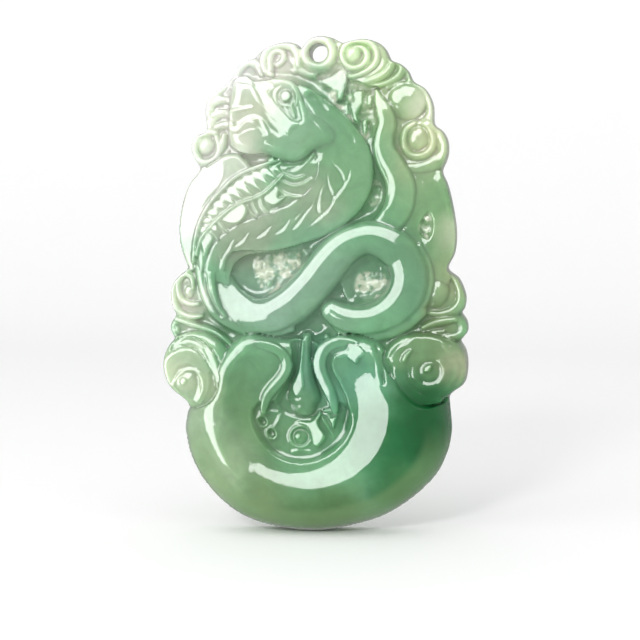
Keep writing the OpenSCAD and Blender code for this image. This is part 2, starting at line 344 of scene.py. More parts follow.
def carve(step):
    s = Sheet(step)
    X, Y = s.X, s.Y
    rng = np.random.default_rng(7)

    out = curve(OUTLINE, 4, True)
    w, sd = s.sdf(out, w=(slice(0, len(s.y)), slice(0, len(s.x))))
    s.d = sd
    s.h[:] = 37.0

    # ---------------- ground levels ----------------
    # right-hand cloud bank, a broad bulge behind the tail and the loop
    w, sdb = s.pad([(397, 158), (408, 165), (422, 169), (436, 167), (446, 168), (451, 190), (456, 215), (458, 240), (455, 262), (444, 284),
                    (420, 286), (404, 246), (400, 214), (396, 190)], 44.5, 5, 28, BANK, pw=0.8)
    # filler behind the border clouds
    for c in ([281, 56, 24, 17], [320, 52, 19, 19], [356, 56, 30, 20], [398, 84, 28, 26], [418, 138, 30, 30],
              [225, 98, 22, 24], [211, 144, 20, 20], [440, 288, 30, 26], [448, 322, 24, 14], [190, 290, 22, 26],
              [186, 322, 20, 12], [246, 66, 16, 13]):
        s.dome(c[0], c[1], c[2], c[3], 0, 36, 7, None, pw=0.35, mode="top")

    # ---------------- clouds: top ----------------
    Z = 38
    s.roll(np.c_[[(294, 58), (300, 66), (311, 72.5), (322, 73), (333, 69), (343, 61), (348, 51), (347, 43)], [4.4] * 8],
           Z - 2, 9, CLOUD_T)
    s.roll(arc(320, 51.5, 13.8, 13.8, 0, 360, 5.2, 5.2), Z, 13, CLOUD_T, smooth=False)
    s.dome(281, 56, 21, 15, 0, Z, 4, CLOUD_T, pw=0.4)
    s.roll(np.c_[[(300, 64), (299, 53), (295, 46.5), (287, 43.5), (277, 44.5), (269, 50), (265.5, 58), (267, 68), (274, 73)],
                 [3.4, 4.2, 4.8, 4.6, 4.2, 4.0, 4.0, 3.6, 3]], Z + 1, 11, CLOUD_T)
    s.roll(np.c_[[(273, 68), (272, 60), (274, 53), (280, 49.5), (285.5, 52.5), (285, 59), (280, 63)],
                 [3.2, 3.4, 3.4, 3.3, 3.4, 3.6, 3.6]], Z + 1, 9, CLOUD_T)
    s.dome(296, 69, 4.5, 3.2, 20, Z, 6, CLOUD_T)
    s.roll(np.c_[[(264, 72), (260, 64), (253, 60), (246, 62), (241, 69), (238, 78), (236, 86)], [4, 5, 5.5, 6, 5.6, 5, 4]],
           Z - 1, 11, CLOUD_L)
    # top right scroll: an eye, then two turns that sweep away to the lower left
    s.roll(np.c_[[(374, 44), (382, 52), (385, 62), (378, 71), (366, 77), (353, 83), (346, 88)], [4, 6, 6.5, 6, 5.5, 5, 3]],
           Z - 1, 11, CLOUD_R)
    s.roll(np.c_[[(346, 45), (352, 40.5), (361, 39.5), (370, 42), (377, 49), (378, 58), (373, 66), (364, 72), (354, 75), (345, 74)],
                 [3.2, 3.4, 3.8, 4.2, 4.8, 5, 4.8, 4.4, 3.8, 3]], Z, 12, CLOUD_T)
    s.roll(np.c_[[(356, 46), (363, 47), (367.5, 52), (367, 59), (361.5, 65), (353, 66.5), (346, 62), (343, 54), (345, 46)],
                 [1.6, 2.6, 3.4, 3.6, 3.6, 3.6, 3.4, 3.2, 3]], Z + 1, 12, CLOUD_T)
    s.dome(354, 53, 8.2, 8.8, 20, Z + 1, 14, CLOUD_T)
    s.roll(np.c_[[(392, 58), (391, 66), (384, 73.5), (373, 78.5), (362, 82), (354, 87)], [4, 5, 4.8, 4.2, 3.6, 2.6]],
           Z + 1, 11, CLOUD_R)
    s.roll(np.c_[[(402, 63), (401, 71), (394, 78), (383, 82.5), (371, 85), (361, 86)], [5, 5.2, 4.6, 3.8, 3.2, 2.4]],
           Z - 1, 11, CLOUD_R)
    s.roll(np.c_[[(408, 68), (411, 76), (408, 82), (398, 83), (388, 86)], [5, 5.5, 5, 4, 3]], Z - 3, 11, CLOUD_R)
    # right lobes
    s.roll(np.c_[[(415, 82), (424, 89), (429, 98), (431, 108), (428, 117), (420, 121)], [4.5, 6, 6, 6, 6, 5]], Z - 4, 12, CLOUD_R)
    s.dome(407, 99, 19, 18.5, 20, Z + 4, 11, CLOUD_R, pw=0.6)
    s.facet([(392, 93), (397, 88), (403, 89), (403, 96), (400, 102), (394, 100)], 51, 0.3, 0.25, 2.0, CLOUD_R)
    s.roll(np.c_[[(427, 121), (437, 127), (443, 137), (444, 148), (439, 157), (428, 163), (415, 165), (404, 162)],
                 [6, 7, 7, 7, 7, 6.4, 5.5, 4]], Z - 2, 14, CLOUD_R)
    s.roll(np.c_[[(424, 121), (430, 127), (433, 137), (430, 147), (422, 152.5), (412, 152), (405, 145), (403.5, 135), (407, 126), (414, 121)],
                 [3, 4, 4.2, 4.2, 4.2, 4.2, 4.2, 4.2, 4, 3.4]], Z + 2, 10.5, CLOUD_R)
    s.dome(418, 135, 11, 12.5, 15, Z + 3, 9, CLOUD_R, pw=0.7)

    # ---------------- clouds: left ----------------
    s.roll(np.c_[[(234, 76), (225, 84), (216, 91), (211.5, 101), (212, 108)], [5, 7, 7, 5.5, 4]], Z - 3, 12, CLOUD_L)
    s.roll(np.c_[[(236, 100), (228, 97.5), (219, 98.5), (213, 104), (211, 111)], [5, 5.4, 5.4, 5, 4]], Z - 1, 10, CLOUD_L)
    s.roll(np.c_[[(237, 112), (228, 110.5), (219, 112), (213, 117), (213, 125)], [5.4, 5.6, 5.6, 5.6, 5]], Z - 2, 10, CLOUD_L)
    s.roll(np.c_[[(236, 122), (226, 122), (217, 125)], [5, 5, 4]], Z - 3, 9, CLOUD_L)
    s.ridge(np.c_[[(219, 93), (226, 96), (233, 101)], [1.3] * 3], 2.2)
    s.ridge(np.c_[[(208, 108), (217, 107), (228, 108)], [1.2] * 3], 1.6)
    s.ridge(np.c_[[(209, 116), (217, 115), (226, 115)], [1.4] * 3], -2.2)
    s.roll(np.c_[[(218, 130), (209, 128.5), (200, 132), (197, 141), (198, 151), (204, 158), (213, 158), (220, 152), (222, 143), (219, 134)],
                 [3.4, 4.4, 4.8, 4.8, 4.6, 4.6, 4.6, 4.4, 4, 3.4]], Z - 1, 13, CLOUD_L)
    s.dome(208.5, 142.5, 8.6, 9.6, 10, Z, 15, CLOUD_L, pw=0.6)
    s.roll(np.c_[[(227, 132), (225.5, 139), (223.5, 147)], [3.2, 4.4, 3.4]], Z, 12, CLOUD_L)
    s.roll(np.c_[[(201, 163), (211, 161), (222, 154), (231, 147)], [3, 3.4, 3.4, 2.6]], Z - 2, 7, CLOUD_L)
    # lower left scroll
    s.dome(187, 290, 19, 24, 0, Z - 2, 6, CLOUD_L, pw=0.4)
    s.roll(np.c_[[(190, 266), (183, 270), (177, 278), (175, 289), (177, 301), (184, 309), (194, 312), (203, 311)],
                 [2.6, 3.8, 4.4, 4.6, 4.6, 4.4, 4.2, 3]], Z - 2, 13, CLOUD_L)
    s.roll(np.c_[[(195, 283), (194, 274), (188, 269.5), (182, 274), (180, 284), (183, 294), (191, 299), (200, 299)],
                 [2.8, 3.2, 3.2, 3.2, 3.8, 4, 3.8, 2.8]], Z - 1, 12, CLOUD_L)
    s.dome(191, 287, 6.6, 8.4, -10, Z - 1, 10, CLOUD_L, pw=0.6)
    s.roll(np.c_[[(197, 263), (192, 265), (194, 272)], [2.6, 2.8, 2.2]], Z - 2, 9, CLOUD_L)
    s.roll(np.c_[[(200, 321), (190, 317), (180, 316.5), (175, 322), (177, 330)], [3.6, 4.6, 5, 4.6, 3.6]], Z - 4, 11, CLOUD_L)
    s.dome(179, 325, 4.4, 5.4, 0, Z - 4, 13, CLOUD_L)

    # ---------------- clouds: lower right ----------------
    s.roll(np.c_[[(444, 262), (455, 272), (460, 284), (460, 296), (452, 305), (441, 308), (431, 307)],
                 [5, 6.5, 7, 7, 6.6, 5.5, 4]], Z - 4, 12, CLOUD_R)
    s.dome(437, 286, 14.5, 18, 15, Z - 2, 15, CLOUD_R, pw=0.6)
    s.roll(np.c_[[(455, 312), (462, 318), (462, 326), (454, 330), (445, 330)], [5, 6.4, 6.6, 5.6, 4]], Z - 5, 12, CLOUD_R)
    s.roll(np.c_[[(424, 321), (434, 317), (445, 314.5), (455, 313)], [4, 5.2, 5.4, 4]], Z - 2, 13, CLOUD_R)
    s.roll(np.c_[[(420, 328), (432, 326), (444, 325)], [3.6, 4.4, 3.6]], Z - 4, 11, CLOUD_R)

    # bank details: a drilled diamond pit, a soft edge line and folds by the loop
    w, sdp = s.sdf(curve([(428, 207), (433, 214), (433, 226), (429, 235), (422, 232), (418, 224), (422, 214)], 4, True))
    s.h[w] -= 7 * ss(-0.8, 3.2, sdp)
    s.rough[w] = np.maximum(s.rough[w], ss(0, 1.5, sdp))
    s.ridge(np.c_[[(436, 176), (443, 188), (447, 200), (449, 213)], [2.2, 2.8, 2.8, 2]], 1.4)
    s.ridge(np.c_[[(417, 226), (427, 244), (433, 264), (433, 284), (428, 300)], [2, 2.4, 2.6, 2.4, 2]], -0.9)

    # ---------------- rough ground between the head and the tail ----------------
    w, sdr = s.sdf(curve([(320, 76), (330, 72), (339, 64), (345, 72), (350, 84), (356, 82), (368, 87), (377, 88), (378, 94),
                          (375, 104), (374, 120), (370, 138), (366, 150), (361, 140), (356, 126), (346, 118), (340, 108),
                          (333, 98), (326, 88)], 4, True))
    s.h[w] = np.where(sdr > -3, 37 - 3.0 * ss(-1, 5, sdr), s.h[w])
    s.rough[w] = np.maximum(s.rough[w], ss(-2, 2, sdr))
    for (px, py, rx, ry, a, H) in ((337, 90, 7, 12, 20, 7), (352, 96, 6, 9, -10, 6), (365, 100, 5, 9, 15, 6),
                                   (345, 104, 5, 8, 30, 5), (356, 114, 6, 5, 0, 5)):
        s.dome(px, py, rx, ry, a, 34, H, None, pw=0.8)
    for chip in ([(321, 79), (331, 73.5), (342, 66.5), (348, 72), (348.5, 82), (343.5, 97), (338, 98), (339, 88.5), (329, 85.5)],
                 [(354.5, 88), (364, 88.5), (363, 102), (357.5, 113), (360, 121), (355, 118), (351, 106)],
                 [(368, 92), (374, 92), (372, 104), (367, 103)], [(344, 103), (348, 101), (351, 112), (347, 113)],
                 [(362, 118), (368, 115), (368, 130), (364, 132)]):
        s.facet(chip, 41, 0.27, 0.20, 1.4, None, n=1)
        wc, sdc = s.sdf(np.array(chip))
        s.rough[wc] = np.where(sdc > 0, 0.22, s.rough[wc])

    # ---------------- tail ----------------
    s.roll([(377, 89, 2.2, .5), (380, 98, 5.5, .8), (385, 109, 8.5, 1), (388, 121, 9.5, 1), (385, 134, 10, 1),
            (385, 147, 11.5, 1.02), (391, 160, 13.5, 1.05), (399, 174, 14.8, 1.08), (402, 189, 16, 1.08), (399, 204, 15.5, 1.05),
            (391, 216, 14, 1), (380, 226, 12, .9)], 41, 15, TAIL, pw="flat", n=5)
    s.sliver([(377.5, 98, .5), (381.5, 107, 1.2), (384, 119, 1.4), (380.5, 132, 1.3), (379.5, 143, 1.5), (382.8, 156, 2.1), (389, 167, 2.6), (393.6, 180, 3.0),
              (392.5, 193, 3.1), (387, 203, 2.7), (377, 209.5, 1.0)], 0.42)
    s.ridge(np.c_[[(398, 112), (401, 128), (401, 145), (407, 160), (414, 172)], [2.4] * 5], -1.5)
    # small sunk ground left of the tail's foot
    w, sdq = s.sdf(curve([(370, 172), (380, 176), (385, 188), (381, 199), (372, 203), (367, 196), (366, 182)], 4, True))
    s.h[w] = np.where(sdq > -1, np.minimum(s.h[w], 40 - 2 * ss(-1, 4, sdq)), s.h[w])
    s.rough[w] = np.maximum(s.rough[w], 0.5 * ss(0, 2, sdq))

    # ---------------- hood: the big plain crescent ----------------
    hood = [(203, 165), (215, 158), (228, 151.5), (240, 150.5), (248, 156), (256, 163), (270, 163), (262, 166.5),
            (248, 171), (236, 178), (224, 187), (213, 199), (206, 211), (201.5, 224), (199, 238), (198, 252), (196, 266),
            (190, 262), (185, 250), (181.5, 236), (181, 220), (184, 202), (189, 186), (195, 174)]
    w, sdh = s.sdf(curve(hood, 5, True))
    th = np.clip(1 - s.d[w] / 34, 0, 1)
    s.over(w, 42 + 10.5 * (1 - th * th) - 3.5 * (1 - ss(0, 4, sdh)) * (s.d[w] > 8), sdh > 0, HOOD)

    # ---------------- fluted fan and scutes ----------------
    leaf = [(283, 158), (270, 161), (258, 165), (245, 170), (235, 177), (225, 187), (215, 198), (208, 209), (202, 222),
            (198.5, 238), (197.5, 256), (200, 268), (206, 272), (214, 262), (220, 250), (228, 241), (240, 234),
            (252, 228), (268, 223), (284, 220), (300, 215), (317, 208), (327, 194), (332, 176), (333, 160), (327, 146),
            (304, 156)]
    w, sdl = s.pad(leaf, 44, 11, 9, SCUTE, pw=0.6)
    mid = [(287, 171), (278, 180), (268, 189), (256, 195), (246, 198), (236, 203), (226, 211), (216, 220), (208, 229),
           (203, 238), (200, 250)]
    # upper half: thin pointed teeth running from the edge back to the midrib
    rim = [(280, 160.5), (271, 163.3), (262, 166.3), (253, 170), (244.5, 174.5), (236, 180.5), (229, 187), (222, 194), (215.5, 202), (210, 210.5),
           (206, 219), (203, 229), (201, 239)]
    tips = [(285, 169), (280, 175), (273, 181), (265, 186.5), (256, 191), (247, 195), (239, 199.5), (230, 204.5), (222.5, 210.5), (216, 216.5),
            (210, 224), (206, 232)]
    for i in range(12):
        (ax, ay), (bx, by), (tx, ty) = rim[i], rim[i + 1], tips[i]
        px, py = ax + 0.22 * (bx - ax), ay + 0.22 * (by - ay)
        qx, qy = ax + 0.86 * (bx - ax), ay + 0.86 * (by - ay)
        ex, ey = 0.5 * (qx + tx) + 0.5, 0.5 * (qy + ty) + 1.2
        fx, fy = 0.5 * (px + tx) + 0.3, 0.5 * (py + ty) - 0.6
        s.facet([(px, py), (fx, fy), (tx, ty), (ex, ey), (qx, qy)], 56.6, 0.24, 0.22, 1.6, SCUTE, n=2)
    # the edge band of the fan
    s.roll([(286, 156, 1.6), (270, 160, 2), (258, 164, 2.2), (245, 169.5, 2.3), (235, 176, 2.3), (224.5, 186.5, 2.3), (214.5, 197.5, 2.3),
            (207, 209, 2.3), (201.5, 222, 2.3), (198, 238, 2.3), (196.5, 256, 2)], 50, 6, SCUTE, pw=0.6)
    s.roll(np.c_[mid, np.full(len(mid), 1.9)], 52, 7.5, SCUTE, pw=0.7)
    # lower half: three bulging plates parted by thin ridges
    for poly in ([(267, 190), (278, 183.5), (282, 188), (281.5, 194), (289, 192), (283, 198.5), (276, 201), (270, 197)],
                 [(225, 213), (232, 206.5), (240, 201.5), (248, 200), (251, 208), (244, 217.5), (234, 219)],
                 [(205, 232), (211, 228), (217, 234), (213, 242), (209, 250), (205.5, 241)],
                 [(214, 222), (219, 220), (222, 226), (217, 226)]):
        s.facet(poly, 58.5, 0.30, 0.20, 1.6, SCUTE)
    for line in ([(256, 195), (258, 202), (262, 209)], [(264, 192), (266, 201), (271, 207), (275, 210)],
                 [(251, 201), (255, 208), (260, 213)], [(222, 216), (226, 222), (231, 227)], [(213, 227), (218, 230), (222, 235)],
                 [(279, 181), (284, 187), (290, 191), (297, 192.5), (304, 193)], [(283, 175.5), (290, 180), (298, 182), (306, 180), (314, 175.5)],
                 [(290, 172), (298, 175), (306, 173)]):
        s.blade(line, 3.0, 2.6, 2.0)
    for line in ([(275, 204), (283, 203), (292, 199), (300, 197)],):
        s.ridge(np.c_[np.array(line, float), np.full(len(line), 2.4)], -2.5)

    # smooth throat band running below the scutes
    s.roll([(326, 144, 8, 1), (329, 160, 10, 1), (327, 176, 10.5, 1), (318, 191, 10, 1), (303, 203, 9.5, 1), (285, 212, 9, 1),
            (266, 218, 8.5, 1), (248, 224, 8, 1), (233, 232, 7.5, 1), (222, 243, 7, 1), (216, 256, 6.5, 1), (213, 270, 6, 1),
            (214, 286, 5.5, .95), (219, 300, 5, .95), (228, 312, 4, .9)], 50, 6, NECK, pw="flat", n=5)
    # the neck's broad outer band, shallow and smooth
    s.roll([(318, 100, 8, .9), (328, 111, 11, 1), (338, 123, 14, 1), (347, 137, 16, 1), (353, 148, 17, 1), (357, 160, 17.5, 1), (356, 178, 18, 1),
            (348, 195, 17.5, 1), (335, 209, 16, 1), (318, 220, 14, 1), (300, 228, 12, 1), (282, 234, 11, 1), (264, 238, 10, 1), (247, 242, 9, 1),
            (236, 249, 8, .95), (230, 259, 6.5, .85), (228, 270, 5, .5), (229, 280, 4, .1)], 50, 6.6, NECK, pw="flat", n=5)
    s.roll([(330, 132, 9, 1), (337, 146, 10, 1), (342, 162, 10, 1), (341, 180, 10, 1), (331, 198, 10, 1), (312, 211, 8, 1), (292, 219.5, 7, 1), (272, 226, 6.5, 1),
            (252, 231.5, 6, 1), (237, 240, 6, 1), (227, 252, 5, 1), (222, 264, 4, .8), (222, 275, 3, .3)], 50, 6.2, NECK, pw="flat", n=5)
    # the neck falls away very gently towards the fringe of long slanted scales
    s.soften([(319, 146), (320, 160), (320, 175), (312, 190), (300, 200), (284, 207), (268, 213)], 7, 3.2)
    for line in ([(330.5, 152, .5), (336.5, 160, 1.4), (343.5, 168, 1.8), (347, 177, 1.2)],
                 [(339.5, 141, .5), (346.5, 150.5, .8), (351, 161.5, .8), (352, 171, 1.2), (347, 182, 1.8), (338, 194, 2.2), (334, 201, 1.4)],
                 [(330.5, 169, .6), (331.5, 180, 1.5), (335.5, 190, 1.8), (336.5, 198, 1.2)],
                 [(326.5, 181, .6), (322.5, 192, 1.4), (321.5, 205, 2.2), (324, 211, 1.6)],
                 [(335, 200.5, .8), (328.5, 208.5, 2.0), (318.5, 217, 1.6), (309, 223.5, .6)],
                 [(316.5, 199, .6), (308, 210.5, 1.6), (300, 221, 2.0), (296, 225, .8)],
                 [(304, 208, .5), (299, 214.5, 1.0)],
                 [(292.5, 216.5, .7), (286, 225, 2.2), (279, 229.5, .8)],
                 [(274, 222.5, .7), (267.5, 229, 2.4), (260.5, 233.5, .8)],
                 [(251.5, 229.5, .7), (245.5, 237, 2.2), (239, 241.5, .8)],
                 [(236.5, 236.5, .8), (232, 245.5, 2.0), (226, 255.5, 2.0), (224, 263.5, 1.8), (223.5, 270, .8)],
                 [(221.5, 248, .5), (224, 255, 1.1)]):
        s.sliver(line, 0.5)

    # ---------------- pits inside the coils ----------------
    pit = curve([(232, 250), (242, 246), (258, 246), (280, 245), (300, 241), (318, 236), (325, 240), (318, 252), (308, 268),
                 (298, 282), (284, 292), (268, 297), (250, 297), (237, 290), (230, 277), (228, 263)], 4, True)
    w, sdp = s.sdf(pit)
    bowl = 51 - 11 * ss(0, 22, sdp)
    s.h[w] = np.where(sdp > 0, np.minimum(s.h[w], bowl), s.h[w])
    rr = curve([(256, 254), (270, 249), (290, 246), (312, 243), (318, 248), (306, 264), (296, 278), (282, 288), (266, 288), (257, 276)], 4, True)
    w, sdr = s.sdf(rr)
    s.rough[w] = np.maximum(s.rough[w], ss(-1, 3, sdr))
    pit2 = curve([(350, 262), (356, 252), (367, 247), (379, 249), (386, 258), (389, 270), (387, 283), (379, 293), (366, 298),
                  (354, 295), (347, 286), (346, 273)], 4, True)
    w, sdp = s.sdf(pit2, pad=4)
    s.h[w] = np.where(sdp > -3, 43 - 5 * ss(-2, 8, sdp), s.h[w])
    w, sdr = s.sdf(curve([(358, 270), (368, 266), (382, 266), (389, 274), (386, 286), (376, 294), (362, 294), (355, 284)], 4, True))
    s.rough[w] = np.maximum(s.rough[w], ss(-1, 3, sdr))

    # ---------------- the coil ----------------
    # under part of the right loop first, then the bend and the diagonal over it
    loop = [(352, 235, 15, .9), (368, 231, 15.5, 1), (384, 234, 17, 1), (399, 244, 18.5, 1), (408, 259, 19.5, 1),
            (410, 275, 20, 1), (405, 291, 20, 1), (393, 304, 18.5, 1), (377, 312, 16.5, 1), (360, 314, 15.5, .98),
            (345, 311, 14.5, .92), (334, 305, 12, .85)]
    s.roll(loop, 40, 26, COIL, pw="low", n=6)
    s.roll([(420, 240, 4), (428, 256, 5), (431, 273, 5.5), (428, 290, 5), (419, 305, 4.5), (405, 316, 4)], 40, 13, COIL)
    # a shoulder of stone under the loop, running down to the ruyi
    s.roll([(420, 305, 8), (405, 317, 9), (386, 325, 9), (366, 328, 8), (348, 326, 7), (338, 319, 5)], 42, 12, COIL, pw="low")
    # left bend, outer slim band then the main tube
    s.roll([(203, 262, 6, .8), (206, 278, 6.5, .9), (211, 294, 7, .95), (221, 308, 7.5, 1), (236, 318, 7.5, 1), (254, 324, 7, 1),
            (274, 326, 6.5, 1), (292, 322, 6, .9)], 42, 13, COIL, pw="low")
    s.ridge(np.c_[[(209, 268), (211, 284), (217, 299), (224, 310)], [1.3] * 4], -3.0)
    s.ridge(np.c_[[(214, 268), (216, 284), (221, 300), (228, 310)], [1.2] * 4], 2.0)
    diag = [(223, 264, 8, .245), (227, 280, 11, .36), (235, 295, 14.5, .51), (250, 308, 17.5, .69), (268, 311, 19, .86), (286, 304, 20, .95),
            (302, 292, 20.5, 1), (316, 277, 20.5, 1), (328, 261, 20, 1), (341, 246, 19, 1), (356, 236, 17.5, .99), (370, 233, 15.5, .96),
            (383, 237, 13, .9)]
    s.roll(diag, 41, 26.5, COIL, pw="low", n=6)
    # blend the diagonal's end into the loop
    s.roll([(336, 250, 17.5, 1), (352, 238, 17.5, 1), (368, 233, 17, 1), (384, 236, 18, 1), (398, 245, 18.8, 1)], 40, 26.6, COIL, pw="low", n=6)

    # ---------------- head ----------------
    head = [(237, 80), (243, 75), (250, 74.5), (257, 79), (266, 79.5), (280, 76.5), (292, 78), (301, 84), (307, 93), (312, 104),
            (320, 112), (330, 119), (338, 129), (337, 139), (327, 143), (316, 147), (308, 154), (296, 158.5), (282, 155.5),
            (268, 151), (250, 151), (239, 147), (233.5, 139), (232, 128), (232.5, 112), (234, 98), (235.5, 88)]
    w, sdh = s.pad(head, 51, 9.5, 4.5, HEAD, pw=0.5)
    Xw, Yw = s.X[w], s.Y[w]
    HM = sdh > 0
    # the whole head rises from the snout to the cranium and the cheek
    lift = 6.5 * ss(226, 330, Xw + 0.2 * (Yw - 100)) 
    s.h[w] += np.where(HM, lift * ss(0, 4.5, sdh), 0)
    # sunk face left of the brow
    face = curve([(237, 88), (243, 83), (251, 84), (257, 88), (262, 98), (269, 108), (277, 118), (286, 128), (283, 133),
                  (275, 128), (268, 119), (262, 114.5), (254, 116), (247, 120), (240, 124), (236, 116), (235, 100)], 4, True)
    w2, sdf_ = s.sdf(face)
    s.h[w2] -= np.where(sdf_ > -3, 1.5 * ss(-2.5, 3.5, sdf_), 0)
    # eye socket
    sock = curve([(273, 91), (278, 84.5), (288, 82.5), (297, 86), (302, 94), (304, 106), (306, 118), (300, 120), (294, 117),
                  (286, 110), (279, 103)], 4, True)
    w2, sds = s.sdf(sock)
    s.h[w2] -= 3.6 * ss(-0.8, 2.4, sds)
    # brow plate: a flat facet from the crown down past the eye to a point
    s.facet([(255, 81.5), (261, 79.5), (269, 79.5), (277, 81.5), (277, 86.5), (271, 90), (275, 97), (279.5, 104), (286, 110), (292, 117),
             (297, 119.5), (303, 121), (301, 124.5), (296.5, 126.5), (293, 132), (289.5, 129), (283, 122), (276, 114.5), (269.5, 106),
             (264, 97), (260, 89.5)], 62.3, 0.22, 0.10, 1.6, HEAD, cut=True, n=2)
    s.facet([(238, 80.5), (243, 77), (249, 75.8), (255, 79.5), (258, 84), (252, 82.8), (245, 82)], 56.5, 0.24, 0.16, 1.6, HEAD, cut=True)
    s.blade([(262, 80.5, .8), (272, 79, 1), (283, 78.5, 1), (293, 80.5, 1), (299, 84.5, 1), (303, 91, .9), (306, 98, .7)], 2.6, 2.0, 3.2)
    # eye: ball and rings
    s.ridge(arc(289.5, 94.5, 9.8, 9.8, 0, 360, 1.6, 1.6), 1.3, smooth=False)
    s.dome(289.5, 94.5, 6.2, 6.2, 0, 61, 1.0, EYE, pw=0.5)
    w2, sde = s.sdf(arc(289.5, 94.5, 5.6, 5.6, 0, 360)[:, :2])
    s.h[w2] = np.where(sde > 0, 63.5 + 0.26 * (s.X[w2] - 289.5) + 0.22 * (s.Y[w2] - 94.5) + 1.4 * ss(0, 1.5, sde), s.h[w2])
    re = s.reg[w2]
    re[sde > 0] = EYE
    s.reg[w2] = re
    s.roll([(297, 86.5, 1.2), (301, 94, 1.4), (300.5, 103, 1.2)], 63, 3.6, HEAD)
    s.blade([(295, 104, .8), (297, 109, 1), (299, 115, .8)], 3.4, 2.4, 1.6)
    s.blade([(290, 106, .7), (293, 111, 1), (297, 116, .8)], 2.4, 2.2, 1.6)
    # bar behind the eye
    s.facet([(302, 96), (304.5, 95.5), (307.5, 105), (311.5, 117), (310.5, 122), (305, 124), (302.5, 123.5), (306, 120), (305.5, 112)],
            67.5, 0.30, 0.10, 1.4, HEAD, n=2)
    # nostril line, lips, jaw line
    s.soften([(240, 90), (248, 104), (262, 112)], 16, 4.0)
    s.soften([(251, 86), (257, 98), (264, 110)], 5, 2.5, 0.8)
    s.blade([(231.5, 109.5, .8), (243, 108, 1), (256, 106, .8)], 2.6, 1.8, 3.2)
    s.ridge(np.c_[[(234, 125), (238, 129), (243, 127.5), (247, 123), (252, 119.5), (258, 121)], [1.3] * 6], 1.7)
    s.ridge(np.c_[[(257, 117.5), (264, 117), (268, 122), (273, 131.5)], [1.4] * 4], 1.7)
    s.ridge(np.c_[[(235, 133), (241, 131.5), (248, 127.5), (255, 125), (262, 126), (267, 132)], [1.8] * 6], -0.6)
    s.ridge(np.c_[[(235, 119), (237, 122), (240, 121)], [1.6] * 3], -2.6)
    s.dome(243, 138, 10, 7.5, -15, 58, 3.0, HEAD, pw=0.9)
    s.dome(259, 139, 10, 9, 0, 59, 2.5, HEAD, pw=0.9)
    s.ridge(np.c_[[(271, 139), (279, 146), (289, 151.5), (299, 150), (307, 143.5), (315, 138.5), (325, 137), (333, 142)], [2.0] * 8], 0.9)
    s.ridge(np.c_[[(268, 146), (280, 153), (294, 157), (306, 152), (316, 144)], [2.6] * 5], -1.6)
    s.soften([(240, 139), (258, 141), (276, 146), (296, 149)], 12, 3.5, 0.8)
    # a bright lip of stone between the jaw and the throat
    s.facet([(290, 165.5), (296, 163.5), (302, 162), (308, 157), (314, 150.5), (318, 148.5), (316, 154), (310, 160.5), (304, 166.5), (300, 168.5),
             (294, 167.5)], 54.2, 0.24, 0.32, 1.4, SCUTE, cut=True, n=2)
    s.facet([(276, 162.5), (281, 159.5), (286, 159), (283, 161.5), (279, 163)], 57, 0.3, 0.22, 1.2, SCUTE)
    s.facet([(270, 155.5), (276, 153.5), (278, 157), (273, 159.5)], 55, 0.3, 0.2, 1.2, SCUTE)
    s.ridge(np.c_[[(248, 154), (258, 156), (268, 156)], [2.2, 2.6, 2]], -1.0)
    # nape: the crown runs back into the neck with a soft edge line
    s.roll([(303, 86, 3, .75), (309, 92, 7, .95), (316, 102, 10, 1), (325, 112, 11, .97), (335, 123, 10, .8), (344, 134, 8, .6)], 50, 13.5, NECK, pw="flat")
    sm = blur(s.h, 4.5 / step)
    k = np.clip(2.2 - 1.2 * np.hypot((X - 337) / 24, (Y - 129) / 24), 0, 1) * ((s.reg == NECK) | (s.reg == HEAD))
    s.h += (sm - s.h) * k * 0.9
    s.soften([(317, 99), (325, 113), (337, 124), (346, 138)], 12, 6.0, 1.0)

    # ---------------- ruyi head ----------------
    # main cushion, from the distance to its own edge
    ru = [(189, 396), (186, 410), (184, 425), (186, 440), (190, 455), (200, 475), (215, 493), (235, 510), (260, 521), (290, 527),
          (320, 528), (350, 523), (380, 514), (400, 503), (415, 492), (430, 478), (440, 465), (446, 452), (450, 440), (452, 425),
          (451, 410), (450, 396), (436, 398), (424, 396), (410, 386), (396, 368), (390, 350), (384, 338), (372, 331), (354, 327),
          (338, 329), (324, 336), (312, 334), (300, 332), (288, 332), (270, 329), (254, 327), (241, 331.5), (229, 345), (221, 358),
          (216.5, 371), (214, 385), (208, 397), (200, 402)]
    ruc = curve(ru, 4, True)
    w, sdr = s.sdf(ruc)
    Xw, Yw = s.X[w], s.Y[w]
    inr = sdr > 0
    rim = s.d[w]
    t = np.clip(1 - rim / 44.0, 0, 1)
    body = 17 + 50 * np.sqrt(1 - t ** 2.0) + 4 * ss(20, 60, rim)
    # shoulder where the fingers leave
    t2 = np.clip(1 - sdr / 18.0, 0, 1)
    t3 = np.clip(1 - sdr / 6.0, 0, 1)
    # left border: a steep flank, a creased facet and then the flat top
    t4 = np.clip(1 - rim / 9.0, 0, 1)
    D1 = np.interp(Yw, [380, 395, 402, 408, 415, 428, 445, 460], [33, 30, 27, 28, 29.5, 32, 34.5, 36])
    W1 = np.interp(Yw, [378, 386, 395, 402, 408, 415, 428, 440, 452, 462], [2, 4, 7, 11, 10, 8.5, 6, 4, 2.5, 0])
    left = 17 + (53 - 0.86 * D1 - 0.5 * W1) * np.sqrt(1 - t4 * t4) + 0.86 * np.minimum(rim, D1) + 0.5 * np.clip(rim - D1, 0, W1)
    k = ss(262, 240, Xw) * ss(486, 462, Yw)
    body += (left - body) * k
    body = np.minimum(body, 46 + 12 * np.sqrt(1 - t3 * t3) + 12 * (1 - t2 * t2) + 4 * ss(10, 40, sdr))
    # the dished middle round the medallion
    rm = np.hypot(Xw - 300, Yw - 400)
    body -= 12.5 * (1 - ss(56, 97, rm)) * ss(322, 362, Yw)
    s.over(w, body, inr, RUYI)

